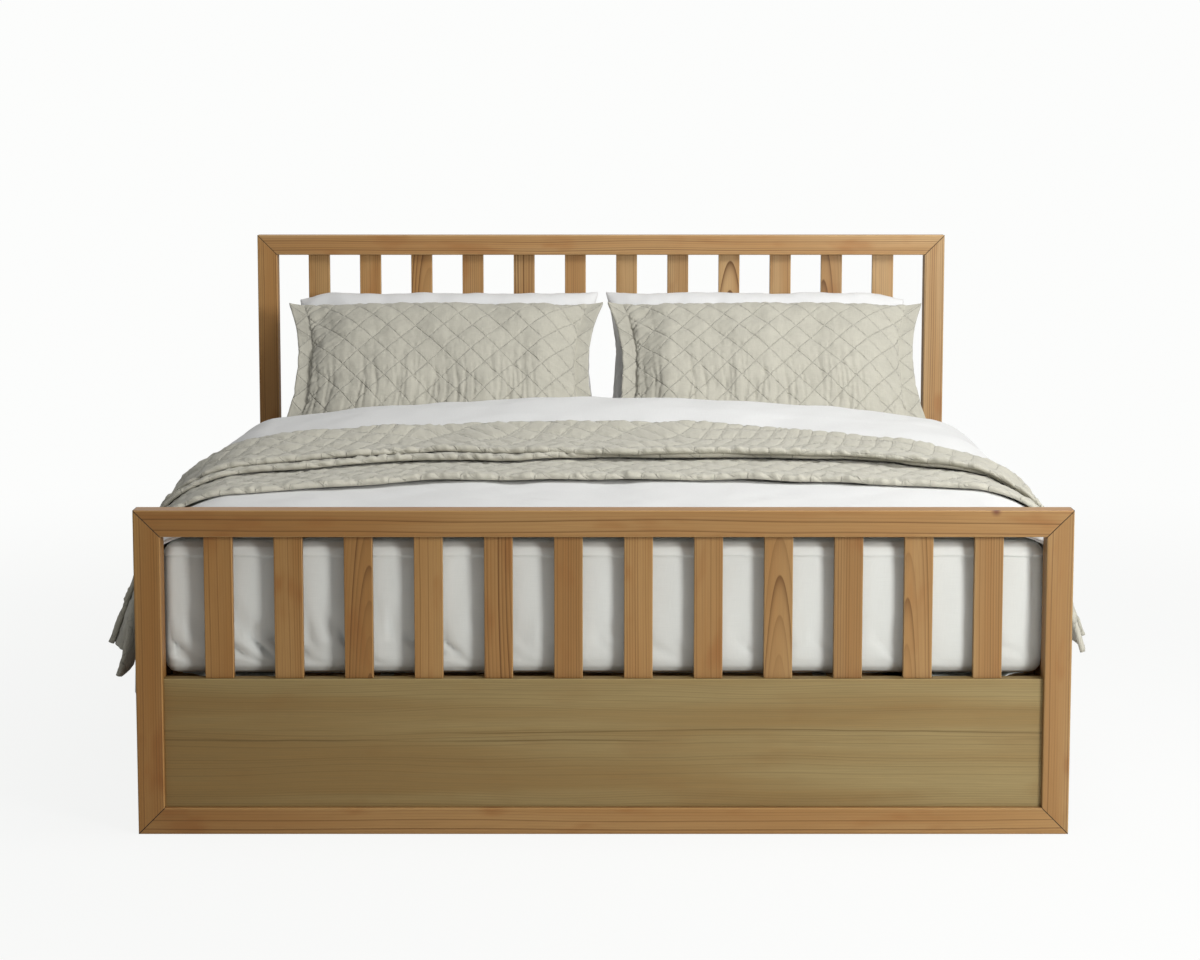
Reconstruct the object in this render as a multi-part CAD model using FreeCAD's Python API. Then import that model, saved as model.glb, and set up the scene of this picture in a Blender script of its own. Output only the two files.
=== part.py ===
import FreeCAD, Part
import math
import os

# A king-size bed: a mitred headboard and footboard with flat spindles over a plain
# lower panel, hooked side rails, a slatted base on a centre beam, and its bedding.
# Millimetres. +Z is up, -Y is the foot, and the origin is on the floor under the middle.

# ---- Headboard and footboard ----
FRAME_WIDTH = 2030.0
MEMBER = 58.0               # face width of every post and rail
FRAME_DEPTH = 52.0          # front to back
FOOT_HEIGHT = 715.0
HEAD_HEIGHT = 1200.0
ARRIS = 2.0                 # chamfer on the long edges of the four frame members
CHAMFER = 1.2               # on the long edges of everything else
SPINDLES = 12
SPINDLE_WIDTH = 62.0
SPINDLE_THICK = 20.0
SPINDLE_SETBACK = 24.0      # from the frame's front to the spindle's front
PANEL_TOP = 342.0
PANEL_THICK = 32.0
PANEL_SETBACK = 14.0
TENON_LENGTH = 14.0
TENON_SHOULDER = 8.0        # spindle edge to tenon edge
TENON_THICK = 10.0
GROOVE = 8.0                # how far the panel's tongue enters posts and rail
TONGUE_THICK = 12.0
MITRE_TONGUE = (32.0, 8.0, 32.0)    # across the mitre, thick, along the mitre

# ---- Side rails and slatted base ----
RAIL_LENGTH = 2035.0
RAIL_INNER = 971.0          # centre line of the bed to the rail's inner face
RAIL_THICK = 25.0
RAIL_BOTTOM = 155.0
RAIL_TOP = 345.0
LEDGER_WIDTH = 25.0
LEDGER_HEIGHT = 30.0
LEDGER_END_GAP = 5.0
SLAT_BED = 305.0            # height of ledgers and centre beam
SLATS = 14
SLAT_WIDTH = 80.0
SLAT_THICK = 20.0
SLAT_PITCH = 150.0
SLAT_END_GAP = 2.0
TAPE_WIDTH = 30.0
TAPE_THICK = 1.0
TAPE_OFFSET = 480.0
BEAM_WIDTH = 45.0
BEAM_HEIGHT = 70.0
BEAM_END_GAP = 1.0
LEG_SPACING = 900.0
LEG_BOTTOM = 24.0
LEG_TENON = (25.0, 25.0, 20.0)
INSERT_RADIUS = 7.0
INSERT_LENGTH = 20.0
STEM_RADIUS = 4.0
STEM_CLEARANCE = 0.05
STEM_TOP = 46.0
DRILL_MARGIN = (1.0, 6.0)   # round the stem, and above it when it is screwed right in
FOOT_TRAVEL = 12.0
FOOT_PAD_RADIUS = 21.0
FOOT_PAD_HEIGHT = 8.0
HANGER_STEEL = 3.0
HANGER_REACH = 40.0
HANGER_WIDTH = 92.0
HANGER_CHEEK = 45.0

# ---- Rail fittings and screws ----
PLATE_STEEL = 3.0
PLATE_WIDTH = 19.0
PLATE_BOTTOM = 175.0
PLATE_TOP = 325.0
PLATE_SCREW_MARGIN = 10.0
HOOK_HEIGHTS = (205.0, 270.0)
HOOK_STEEL = 3.0
HOOK_REACH = 11.0
HOOK_THROAT = 4.0           # from the rail plate to the hook's nose
HOOK_DROP = 8.0
HOOK_HEIGHT = 24.0
SLOT_PLAY = 1.0
SCREW_SIDES = 6
SCREW_RADIUS = 2.0
SCREW_HEAD_RADIUS = 4.0
SCREW_HEAD_HEIGHT = 2.0
SCREW_LENGTH = 26.0
LEDGER_SCREWS = 5

# ---- Bedding ----
MATTRESS = (1930.0, 2030.0)
MATTRESS_TOP = 640.0
MATTRESS_LIFT = 0.5         # air between the tapes and the mattress
MATTRESS_CORNER = 55.0
MATTRESS_EDGE = 22.0
COVER_INNER = 1003.0        # centre line to the inside of the hanging cloth
COVER_BASE = MATTRESS_TOP + 2.0     # underside of the coverlet over the mattress
COVER_THICK = 14.0
COVER_HEM = 285.0
COVER_ENDS = (58.0, 2050.0)         # distances from the footboard's front face
COVER_RISE = (12.0, 22.0)           # swelling at the foot, and along the bed
COVER_PLUMP = 107.0                 # extra swelling in front of the shams
COVER_FOOT_RUN = (58.0, 250.0)      # where along the bed each of these swellings grows
COVER_BED_RUN = (250.0, 1000.0)
COVER_PLUMP_RUN = (950.0, 1400.0)
COVER_SINK_RUN = (1410.0, 1530.0)   # where it drops again, under the shams
COVER_FALL = 24.0                   # how much lower the shoulders are than the middle
COVER_FALL_SHARE = (0.05, 2.0)      # of that fall: always there, and added with the plumpness
COVER_STATIONS = (12, 5)            # outlines up to the ridge, and beyond the drop
COVER_FOLDS = 7
COVER_FOLD_DEPTH = 13.0
COVER_TAPER = 160.0                 # the folds die out this near to each end
COVER_SIDE = 1046.0                 # mean half width over the hanging cloth
COVER_FLARE = 6.0
INNER_TURN = (60.0, 24.0)           # width and drop of the lining's turn over the mattress
SHOULDER_START = 925.0              # half width at which the top begins to turn down
SHOULDER_END = 575.0                # height at which it has become the side
SHOULDER_BOW = 32.0
SHOULDER_TUCK = 4.0
THROW_GAP = 5.0
THROW_CENTRE = (650.0, 1130.0)      # front and back edge on the bed's centre line
THROW_SIDE = (430.0, 960.0)         # the same two edges where the ends hang
THROW_WIDTH = 500.0
THROW_FOLDS = 5
THROW_STEP = 2                      # folds left bare by the upper layer
THROW_LAYER = 17.0
THROW_FLAT = 3                      # stations from the middle to the shoulder
THROW_TURN = 4                      # stations round the shoulder
THROW_DROP = 2                      # stations down to the hem
THROW_TILT = 6.0                    # degrees, at the shoulder's start
THROW_SIDE_TILT = 76.0              # degrees, at the shoulder's end
THROW_SPREAD = 22.0                 # how far it stands off below the shoulder
THROW_HEM = 235.0
THROW_REACH = 1172.0                # half width over the hanging ends
THROW_PUCKER = 2.0
THROW_PLEAT = 15.0
THROW_UNDER_PLEAT = 0.6             # share of the pleats' depth on the lower layer
PILLOW_WIDTH = 858.0
PILLOW_HEIGHT = 478.0
PILLOW_CROWN = 66.0                 # half thickness in the middle
PILLOW_LEAN = 38.0                  # degrees back from upright
PILLOW_FOOT = (1762.0, 661.0)       # lower edge: distance from the foot, height
PILLOW_OFFSET = 432.0
SHAM_WIDTH = 882.0
SHAM_HEIGHT = 474.0
SHAM_CROWN = 60.0
SHAM_LEAN = 42.0
SHAM_FOOT = (1561.0, 661.0)
SHAM_OFFSET = 444.0
CUSHION_STATIONS = 7
CUSHION_FACETS = 4                  # flats from seam to seam on each face
CUSHION_SEAM = 4.0                  # half thickness at the seam
CUSHION_PLUMP = (4, 0.75)           # powers: how long it stays full, how fast it then thins
CUSHION_PINCH = 1.4                 # power that thins it towards its long seams
SEAM_DRAW = 11.0                    # how far the long edges pull in between the corners
SIDE_DRAW = 16.0                    # the same for the short edges

HALF_WIDTH = FRAME_WIDTH / 2
HALF_LENGTH = RAIL_LENGTH / 2 + FRAME_DEPTH
FOOT_FRONT = -HALF_LENGTH
POST_INNER = HALF_WIDTH - MEMBER
SPINDLE_GAP = (2 * POST_INNER - SPINDLES * SPINDLE_WIDTH) / (SPINDLES + 1)
RAIL_OUTER = RAIL_INNER + RAIL_THICK
RAIL_MIDDLE = RAIL_INNER + RAIL_THICK / 2
PANEL_BACK = PANEL_SETBACK + PANEL_THICK
MATTRESS_BOTTOM = SLAT_BED + SLAT_THICK + TAPE_THICK + MATTRESS_LIFT
FOOT_HANGER = FOOT_FRONT + PANEL_BACK + HANGER_STEEL
HEAD_HANGER = HALF_LENGTH - FRAME_DEPTH + PANEL_SETBACK - HANGER_STEEL


def block(x, y, z):
    """A box between pairs of coordinates."""
    corner = FreeCAD.Vector(x[0], y[0], z[0])
    return Part.makeBox(x[1] - x[0], y[1] - y[0], z[1] - z[0], corner)


def prism(points, y, depth):
    """An outline in the XZ plane, given depth along +Y."""
    corners = [FreeCAD.Vector(px, y, pz) for px, pz in points]
    face = Part.Face(Part.makePolygon(corners + corners[:1]))
    return face.extrude(FreeCAD.Vector(0, depth, 0))


def long_edges(shape, axis):
    """The straight edges that run along one axis."""
    chosen = []
    for edge in shape.Edges:
        run = edge.Vertexes[-1].Point.sub(edge.Vertexes[0].Point)
        if abs(run.dot(axis)) > 0.999 * run.Length:
            chosen.append(edge)
    return chosen


def chamfered(shape, axis, size=CHAMFER):
    """Take the sharp arris off the edges that run along one axis."""
    return shape.makeChamfer(size, long_edges(shape, axis))


def mirrored_x(shape):
    return shape.mirror(FreeCAD.Vector(0, 0, 0), FreeCAD.Vector(1, 0, 0))


def mirrored_y(shape):
    return shape.mirror(FreeCAD.Vector(0, 0, 0), FreeCAD.Vector(0, 1, 0))


def four_corners(shape):
    """The same fitting at all four corners of the bed."""
    pair = [shape, mirrored_x(shape)]
    return pair + [mirrored_y(item) for item in pair]


def ring(sides, radius, centre):
    """A regular horizontal polygon about a centre."""
    corners = []
    for index in range(sides + 1):
        angle = 2 * math.pi * (index + 0.5) / sides
        spoke = FreeCAD.Vector(radius * math.cos(angle), radius * math.sin(angle), 0)
        corners.append(centre + spoke)
    return Part.makePolygon(corners)


def column(sides, radius, base, height):
    """A regular upright prism."""
    return Part.Face(ring(sides, radius, base)).extrude(FreeCAD.Vector(0, 0, height))


def screw(point, direction, length=SCREW_LENGTH):
    """A countersunk screw, drawn with flat sides, whose head lies flush at point."""
    profile = ((SCREW_HEAD_RADIUS, 0), (SCREW_RADIUS, SCREW_HEAD_HEIGHT), (SCREW_RADIUS, length))
    rings = [ring(SCREW_SIDES, radius, FreeCAD.Vector(0, 0, depth)) for radius, depth in profile]
    body = Part.makeLoft(rings, True, True)
    body.Placement = FreeCAD.Placement(point, FreeCAD.Rotation(FreeCAD.Vector(0, 0, 1), direction))
    return body


# ---- Headboard and footboard ----

def member_outlines(height):
    """Mitred outlines of the four frame members, seen from the front."""
    outer = HALF_WIDTH
    inner = POST_INNER
    low = MEMBER
    high = height - MEMBER
    return {
        "post_left": [(-outer, 0), (-outer, height), (-inner, high), (-inner, low)],
        "post_right": [(outer, 0), (outer, height), (inner, high), (inner, low)],
        "top_rail": [(-outer, height), (outer, height), (inner, high), (-inner, high)],
        "bottom_rail": [(-outer, 0), (outer, 0), (inner, low), (-inner, low)],
    }


def mitre_tongues(height, front):
    """Loose tongues that bridge the four mitres."""
    across, thick, along = MITRE_TONGUE
    tongues = []
    for side in (-1, 1):
        for level in (MEMBER / 2, height - MEMBER / 2):
            centre = FreeCAD.Vector(side * (HALF_WIDTH - MEMBER / 2), front + FRAME_DEPTH / 2, level)
            start = centre - FreeCAD.Vector(across / 2, thick / 2, along / 2)
            tongue = Part.makeBox(across, thick, along, start)
            tongue.rotate(centre, FreeCAD.Vector(0, 1, 0), 45)
            tongues.append(tongue)
    return Part.makeCompound(tongues)


def panel_tongue(front):
    """The thin edge of the panel that sits in the groove of posts and bottom rail."""
    middle = front + PANEL_SETBACK + PANEL_THICK / 2
    reach = POST_INNER + GROOVE
    depth = (middle - TONGUE_THICK / 2, middle + TONGUE_THICK / 2)
    return block((-reach, reach), depth, (MEMBER - GROOVE, PANEL_TOP))


def spindle_centres():
    first = -POST_INNER + SPINDLE_GAP + SPINDLE_WIDTH / 2
    return [first + index * (SPINDLE_WIDTH + SPINDLE_GAP) for index in range(SPINDLES)]


def spindle(centre, height, front):
    """A flat spindle with a stub tenon at each end."""
    low = PANEL_TOP
    high = height - MEMBER
    face = front + SPINDLE_SETBACK
    half = SPINDLE_WIDTH / 2
    stave = block((centre - half, centre + half), (face, face + SPINDLE_THICK), (low, high))
    stave = chamfered(stave, FreeCAD.Vector(0, 0, 1))
    return stave.fuse(spindle_tenon(centre, height, front)).removeSplitter()


def spindle_tenon(centre, height, front):
    """The tenons of one spindle, drawn right through it; it also cuts their mortises."""
    narrow = SPINDLE_WIDTH / 2 - TENON_SHOULDER
    middle = front + SPINDLE_SETBACK + SPINDLE_THICK / 2
    cheek = (middle - TENON_THICK / 2, middle + TENON_THICK / 2)
    levels = (PANEL_TOP - TENON_LENGTH, height - MEMBER + TENON_LENGTH)
    return block((centre - narrow, centre + narrow), cheek, levels)


def end_frame(height, front):
    """Every piece of a headboard or footboard whose front face stands at y = front."""
    up = FreeCAD.Vector(0, 0, 1)
    along = FreeCAD.Vector(1, 0, 0)
    centres = spindle_centres()
    mortises = Part.makeCompound([spindle_tenon(centre, height, front) for centre in centres])
    tongues = mitre_tongues(height, front)
    edge = panel_tongue(front)
    pieces = {}
    for name, outline in member_outlines(height).items():
        run = up if name.startswith("post") else along
        member = chamfered(prism(outline, front, FRAME_DEPTH), run, ARRIS)
        pieces[name] = member.cut(tongues).cut(edge)
    pieces["top_rail"] = pieces["top_rail"].cut(mortises)
    depth = (front + PANEL_SETBACK, front + PANEL_BACK)
    board = block((-POST_INNER, POST_INNER), depth, (MEMBER, PANEL_TOP))
    board = top_edges_eased(board)
    pieces["panel"] = board.fuse(edge).removeSplitter().cut(mortises)
    for index, centre in enumerate(centres, 1):
        pieces["spindle_%02d" % index] = spindle(centre, height, front)
    pieces["mitre_tongues"] = tongues
    return pieces


def top_edges_eased(board):
    """Chamfer the panel's two long top edges."""
    along = long_edges(board, FreeCAD.Vector(1, 0, 0))
    return board.makeChamfer(CHAMFER, [edge for edge in along if edge.BoundBox.ZMin > PANEL_TOP - 1])


# ---- Rail fittings ----

def rail_hook_plate():
    """Plate let into the rail's end, with two hooks that drop into the post (foot end, +X)."""
    end = -RAIL_LENGTH / 2
    width = (RAIL_MIDDLE - PLATE_WIDTH / 2, RAIL_MIDDLE + PLATE_WIDTH / 2)
    plate = block(width, (end, end + PLATE_STEEL), (PLATE_BOTTOM, PLATE_TOP))
    cheek = (RAIL_MIDDLE - HOOK_STEEL / 2, RAIL_MIDDLE + HOOK_STEEL / 2)
    for level in HOOK_HEIGHTS:
        arm = block(cheek, (end - HOOK_REACH, end), (level, level + HOOK_HEIGHT))
        nose = block(cheek, (end - HOOK_REACH, end - HOOK_THROAT), (level - HOOK_DROP, level))
        plate = plate.fuse(arm).fuse(nose)
    return plate.removeSplitter()


def post_slot_plate():
    """Slotted plate flush with the post's back face (foot end, +X)."""
    end = -RAIL_LENGTH / 2
    width = (RAIL_MIDDLE - PLATE_WIDTH / 2, RAIL_MIDDLE + PLATE_WIDTH / 2)
    plate = block(width, (end - PLATE_STEEL, end), (PLATE_BOTTOM, PLATE_TOP))
    return plate.cut(hook_space(PLATE_STEEL))


def hook_space(depth):
    """Room that the hooks need behind the post's back face."""
    end = -RAIL_LENGTH / 2
    half = HOOK_STEEL / 2 + SLOT_PLAY
    rooms = []
    for level in HOOK_HEIGHTS:
        heights = (level, level + HOOK_HEIGHT + HOOK_DROP + SLOT_PLAY)
        if depth > PLATE_STEEL:
            heights = (level - HOOK_DROP - SLOT_PLAY, heights[1])
        rooms.append(block((RAIL_MIDDLE - half, RAIL_MIDDLE + half), (end - depth, end), heights))
    return Part.makeCompound(rooms)


def plate_screws():
    """Two screws for each rail plate and each post plate at one corner (foot end, +X)."""
    end = -RAIL_LENGTH / 2
    screws = []
    for level in (PLATE_BOTTOM + PLATE_SCREW_MARGIN, PLATE_TOP - PLATE_SCREW_MARGIN):
        screws.append(screw(FreeCAD.Vector(RAIL_MIDDLE, end, level), FreeCAD.Vector(0, 1, 0)))
        screws.append(screw(FreeCAD.Vector(RAIL_MIDDLE, end, level), FreeCAD.Vector(0, -1, 0)))
    return Part.makeCompound(screws)


# ---- Slatted base ----

def side_rail():
    """The right-hand rail, before its ends are let in."""
    y = (-RAIL_LENGTH / 2, RAIL_LENGTH / 2)
    rail = block((RAIL_INNER, RAIL_OUTER), y, (RAIL_BOTTOM, RAIL_TOP))
    return chamfered(rail, FreeCAD.Vector(0, 1, 0))


def ledger():
    """The strip inside the right-hand rail that carries the slats."""
    half = RAIL_LENGTH / 2 - LEDGER_END_GAP
    y = (-half, half)
    return block((RAIL_INNER - LEDGER_WIDTH, RAIL_INNER), y, (SLAT_BED - LEDGER_HEIGHT, SLAT_BED))


def ledger_screws():
    """Screws from the right-hand ledger into its rail."""
    pitch = RAIL_LENGTH / LEDGER_SCREWS
    level = SLAT_BED - LEDGER_HEIGHT / 2
    length = LEDGER_WIDTH + RAIL_THICK / 2
    screws = []
    for index in range(LEDGER_SCREWS):
        y = (index - (LEDGER_SCREWS - 1) / 2) * pitch
        start = FreeCAD.Vector(RAIL_INNER - LEDGER_WIDTH, y, level)
        screws.append(screw(start, FreeCAD.Vector(1, 0, 0), length))
    return screws


def slat_positions():
    return [(index - (SLATS - 1) / 2) * SLAT_PITCH for index in range(SLATS)]


def slat_screws():
    """Screws that hold the first and last slat to the right-hand ledger."""
    length = SLAT_THICK + LEDGER_HEIGHT / 2
    x = RAIL_INNER - LEDGER_WIDTH / 2
    ends = (slat_positions()[0], slat_positions()[-1])
    top = SLAT_BED + SLAT_THICK
    return [screw(FreeCAD.Vector(x, y, top), FreeCAD.Vector(0, 0, -1), length) for y in ends]


def slats():
    reach = RAIL_INNER - SLAT_END_GAP
    levels = (SLAT_BED, SLAT_BED + SLAT_THICK)
    boards = []
    for y in slat_positions():
        boards.append(block((-reach, reach), (y - SLAT_WIDTH / 2, y + SLAT_WIDTH / 2), levels))
    return Part.makeCompound(boards)


def slat_tapes():
    """Two webbing tapes that keep the slats apart."""
    reach = slat_positions()[-1] + SLAT_WIDTH / 2
    base = SLAT_BED + SLAT_THICK
    tapes = []
    for side in (-1, 1):
        x = side * TAPE_OFFSET
        width = (x - TAPE_WIDTH / 2, x + TAPE_WIDTH / 2)
        tapes.append(block(width, (-reach, reach), (base, base + TAPE_THICK)))
    return Part.makeCompound(tapes)


def centre_legs():
    """Square legs tenoned into the beam, drilled for the levelling feet."""
    half = BEAM_WIDTH / 2
    top = SLAT_BED - BEAM_HEIGHT
    tenon_x, tenon_y, tenon_z = LEG_TENON
    drill = STEM_RADIUS + DRILL_MARGIN[0]
    drill_top = STEM_TOP + FOOT_TRAVEL + DRILL_MARGIN[1]
    legs = []
    for y in (-LEG_SPACING / 2, LEG_SPACING / 2):
        leg = block((-half, half), (y - half, y + half), (LEG_BOTTOM, top))
        leg = chamfered(leg, FreeCAD.Vector(0, 0, 1))
        tenon = block((-tenon_x / 2, tenon_x / 2), (y - tenon_y / 2, y + tenon_y / 2), (top, top + tenon_z))
        base = FreeCAD.Vector(0, y, LEG_BOTTOM)
        socket = column(6, INSERT_RADIUS, base, INSERT_LENGTH)
        hole = column(6, drill, base, drill_top - LEG_BOTTOM)
        legs.append(leg.fuse(tenon).cut(socket).cut(hole))
    return legs


def leg_inserts():
    """Six-sided threaded inserts let into the legs, bored for the levelling feet."""
    inserts = []
    for y in (-LEG_SPACING / 2, LEG_SPACING / 2):
        base = FreeCAD.Vector(0, y, LEG_BOTTOM)
        sleeve = column(6, INSERT_RADIUS, base, INSERT_LENGTH)
        bore = Part.makeCylinder(STEM_RADIUS + STEM_CLEARANCE, INSERT_LENGTH, base)
        inserts.append(sleeve.cut(bore))
    return Part.makeCompound(inserts)


def levelling_foot(y):
    """A hexagonal pad with a round stem that screws into the leg."""
    pad = column(6, FOOT_PAD_RADIUS, FreeCAD.Vector(0, y, 0), FOOT_PAD_HEIGHT)
    stem = Part.makeCylinder(STEM_RADIUS, STEM_TOP, FreeCAD.Vector(0, y, 0))
    return pad.fuse(stem).removeSplitter()


def centre_beam(legs):
    """The beam under the slats, with mortises for its legs."""
    half = BEAM_WIDTH / 2
    reach = (FOOT_HANGER + BEAM_END_GAP, HEAD_HANGER - BEAM_END_GAP)
    beam = block((-half, half), reach, (SLAT_BED - BEAM_HEIGHT, SLAT_BED))
    return beam.cut(Part.makeCompound(legs))


def beam_hanger(face, inward):
    """Folded steel hanger whose plate shows its face at y = face and opens inward (+1 or -1)."""
    half = BEAM_WIDTH / 2
    outer = half + HANGER_STEEL
    wide = HANGER_WIDTH / 2
    seat = SLAT_BED - BEAM_HEIGHT
    lip = seat + HANGER_CHEEK
    back = sorted((face, face - inward * HANGER_STEEL))
    reach = sorted((face, face + inward * HANGER_REACH))
    plate = block((-wide, wide), back, (seat - 2 * HANGER_STEEL, SLAT_BED))
    cradle = block((-outer, outer), reach, (seat - HANGER_STEEL, lip))
    channel = block((-half, half), reach, (seat, lip))
    return plate.fuse(cradle.cut(channel)).removeSplitter()


def hanger_screws(face, inward):
    """One screw on each side of a hanger, into the panel behind it."""
    level = SLAT_BED - BEAM_HEIGHT / 2
    x = HANGER_WIDTH / 2 - 2 * SCREW_HEAD_RADIUS
    into = FreeCAD.Vector(0, -inward, 0)
    length = PANEL_THICK / 2 + HANGER_STEEL
    return [screw(FreeCAD.Vector(side * x, face, level), into, length) for side in (-1, 1)]


# ---- Bedding ----

def smooth(value, low, high):
    """0 below low, 1 above high, and an even curve between."""
    share = min(1.0, max(0.0, (value - low) / (high - low)))
    return share * share * (3 - 2 * share)


def closed(points):
    """A closed wire of straight edges."""
    return Part.makePolygon(points + points[:1])


def bowed(start, end, bow):
    """Three chords of an arc to end whose middle stands bow to the left, seen along +Y."""
    run = end.sub(start)
    side = FreeCAD.Vector(-run.z, 0, run.x)
    side.normalize()
    swell = side * bow * 8 / 9
    return [start + run / 3 + swell, start + run * 2 / 3 + swell, end]


def mattress():
    """A box mattress with rounded corners and edges."""
    half_x = MATTRESS[0] / 2
    half_y = MATTRESS[1] / 2
    body = block((-half_x, half_x), (-half_y, half_y), (MATTRESS_BOTTOM, MATTRESS_TOP))
    body = body.makeFillet(MATTRESS_CORNER, long_edges(body, FreeCAD.Vector(0, 0, 1)))
    rims = [edge for edge in body.Edges if edge.BoundBox.ZLength < 1]
    return body.makeChamfer(MATTRESS_EDGE, rims)


def cover_top(distance):
    """Height of the coverlet on the centre line: low at the foot, plump before the shams."""
    rise = COVER_RISE[0] * smooth(distance, *COVER_FOOT_RUN)
    rise += COVER_RISE[1] * smooth(distance, *COVER_BED_RUN)
    plump = COVER_PLUMP * smooth(distance, *COVER_PLUMP_RUN)
    sunk = (COVER_PLUMP + sum(COVER_RISE)) * smooth(distance, *COVER_SINK_RUN)
    return COVER_BASE + COVER_THICK + rise + plump - sunk


def cover_edge(distance):
    """Height of the coverlet where its top begins to turn down."""
    swell = cover_top(distance) - COVER_BASE - COVER_THICK
    always, added = COVER_FALL_SHARE
    return cover_top(distance) - COVER_FALL * (always + added * swell / COVER_PLUMP)


def cover_crown(distance):
    """How far the coverlet's outline stands above a straight line from its middle to a shoulder."""
    return (cover_top(distance) - cover_edge(distance)) / 4


def cover_half(distance, phase):
    """Half width over the coverlet's hanging side, in and out with its folds."""
    start, end = COVER_ENDS
    turn = 2 * math.pi * COVER_FOLDS * (distance - start) / (end - start)
    taper = smooth(distance, start, start + COVER_TAPER) * smooth(end - distance, 0, COVER_TAPER)
    swell = COVER_SIDE - COVER_INNER - COVER_THICK + COVER_FOLD_DEPTH * math.cos(turn + phase)
    return COVER_INNER + COVER_THICK + swell * taper


def cover_arc(distance, phase):
    """Start and end of the coverlet's turn from top to side, as (x, z) on the right."""
    crest = (SHOULDER_START, cover_edge(distance))
    turn = (cover_half(distance, phase) - SHOULDER_TUCK, SHOULDER_END)
    return crest, turn


def cover_section(distance):
    """The coverlet's outline across the bed at one distance from the footboard's front."""
    y = FOOT_FRONT + distance
    waist = (SHOULDER_END + COVER_HEM) / 2
    crown = FreeCAD.Vector(0, 0, cover_crown(distance))

    def at(side, x, z):
        return FreeCAD.Vector(side * x, y, z)

    def corners(side):
        half = cover_half(distance, side)
        crest, turn = cover_arc(distance, side)
        outer = (at(side, *crest), at(side, *turn), at(side, half, waist))
        return outer + (at(side, half + COVER_FLARE, COVER_HEM),)

    left_crest, left_turn, left_waist, left_hem = corners(-1)
    right_crest, right_turn, right_waist, right_hem = corners(1)
    top = at(1, 0, cover_top(distance))
    lining = [
        (COVER_INNER, COVER_HEM),
        (COVER_INNER, SHOULDER_END),
        (COVER_INNER - INNER_TURN[0] / 5, COVER_BASE - INNER_TURN[1]),
        (COVER_INNER - INNER_TURN[0], COVER_BASE),
    ]
    left_crown = (left_crest + top) * 0.5 + crown
    right_crown = (right_crest + top) * 0.5 + crown
    outline = [left_hem, left_waist, left_turn]
    outline += bowed(left_turn, left_crest, SHOULDER_BOW)
    outline += [left_crown, top, right_crown, right_crest]
    outline += bowed(right_crest, right_turn, SHOULDER_BOW)
    outline += [right_waist, right_hem]
    outline += [at(1, *point) for point in lining]
    outline += [at(-1, *point) for point in reversed(lining)]
    return closed(outline)


def coverlet():
    """A thick cloth over the mattress, hanging outside the side rails in shallow folds."""
    start, end = COVER_ENDS
    ridge, sunk = COVER_SINK_RUN
    before, after = (count - 1 for count in COVER_STATIONS)
    places = [start + (ridge - start) * index / before for index in range(before + 1)]
    places += [sunk + (end - sunk) * index / after for index in range(after + 1)]
    return Part.makeLoft([cover_section(place) for place in places], True, True)


def throw_point(distance, station, phase):
    """Underside of the throw on the right: position and outward direction, both as (x, z)."""
    crest, turn = cover_arc(distance, phase)
    if station <= THROW_FLAT:
        share = station / THROW_FLAT
        crown = 4 * cover_crown(distance) * share * (1 - share)
        height = cover_top(distance) + (crest[1] - cover_top(distance)) * share + crown
        tilt = math.radians(THROW_TILT * share ** 2)
        return share * SHOULDER_START, height, math.sin(tilt), math.cos(tilt)
    if station <= THROW_FLAT + THROW_TURN:
        share = (station - THROW_FLAT) / THROW_TURN
        run = (turn[0] + THROW_SPREAD - crest[0], turn[1] - crest[1])
        length = math.hypot(*run)
        out = (-run[1] / length, run[0] / length)
        bow = 4 * (SHOULDER_BOW + 2) * share * (1 - share)
        tilt = math.radians(THROW_TILT + (THROW_SIDE_TILT - THROW_TILT) * share)
        x = crest[0] + run[0] * share + out[0] * bow
        z = crest[1] + run[1] * share + out[1] * bow
        return x, z, math.sin(tilt), math.cos(tilt)
    share = (station - THROW_FLAT - THROW_TURN) / THROW_DROP
    start = COVER_SIDE + THROW_SPREAD
    x = start + (THROW_REACH - 2 * THROW_LAYER - THROW_PLEAT - THROW_GAP - start) * share
    tilt = math.radians(THROW_SIDE_TILT + (90 - THROW_SIDE_TILT) * share)
    z = SHOULDER_END + (THROW_HEM - SHOULDER_END) * share
    return x, z, math.sin(tilt), math.cos(tilt)


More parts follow.
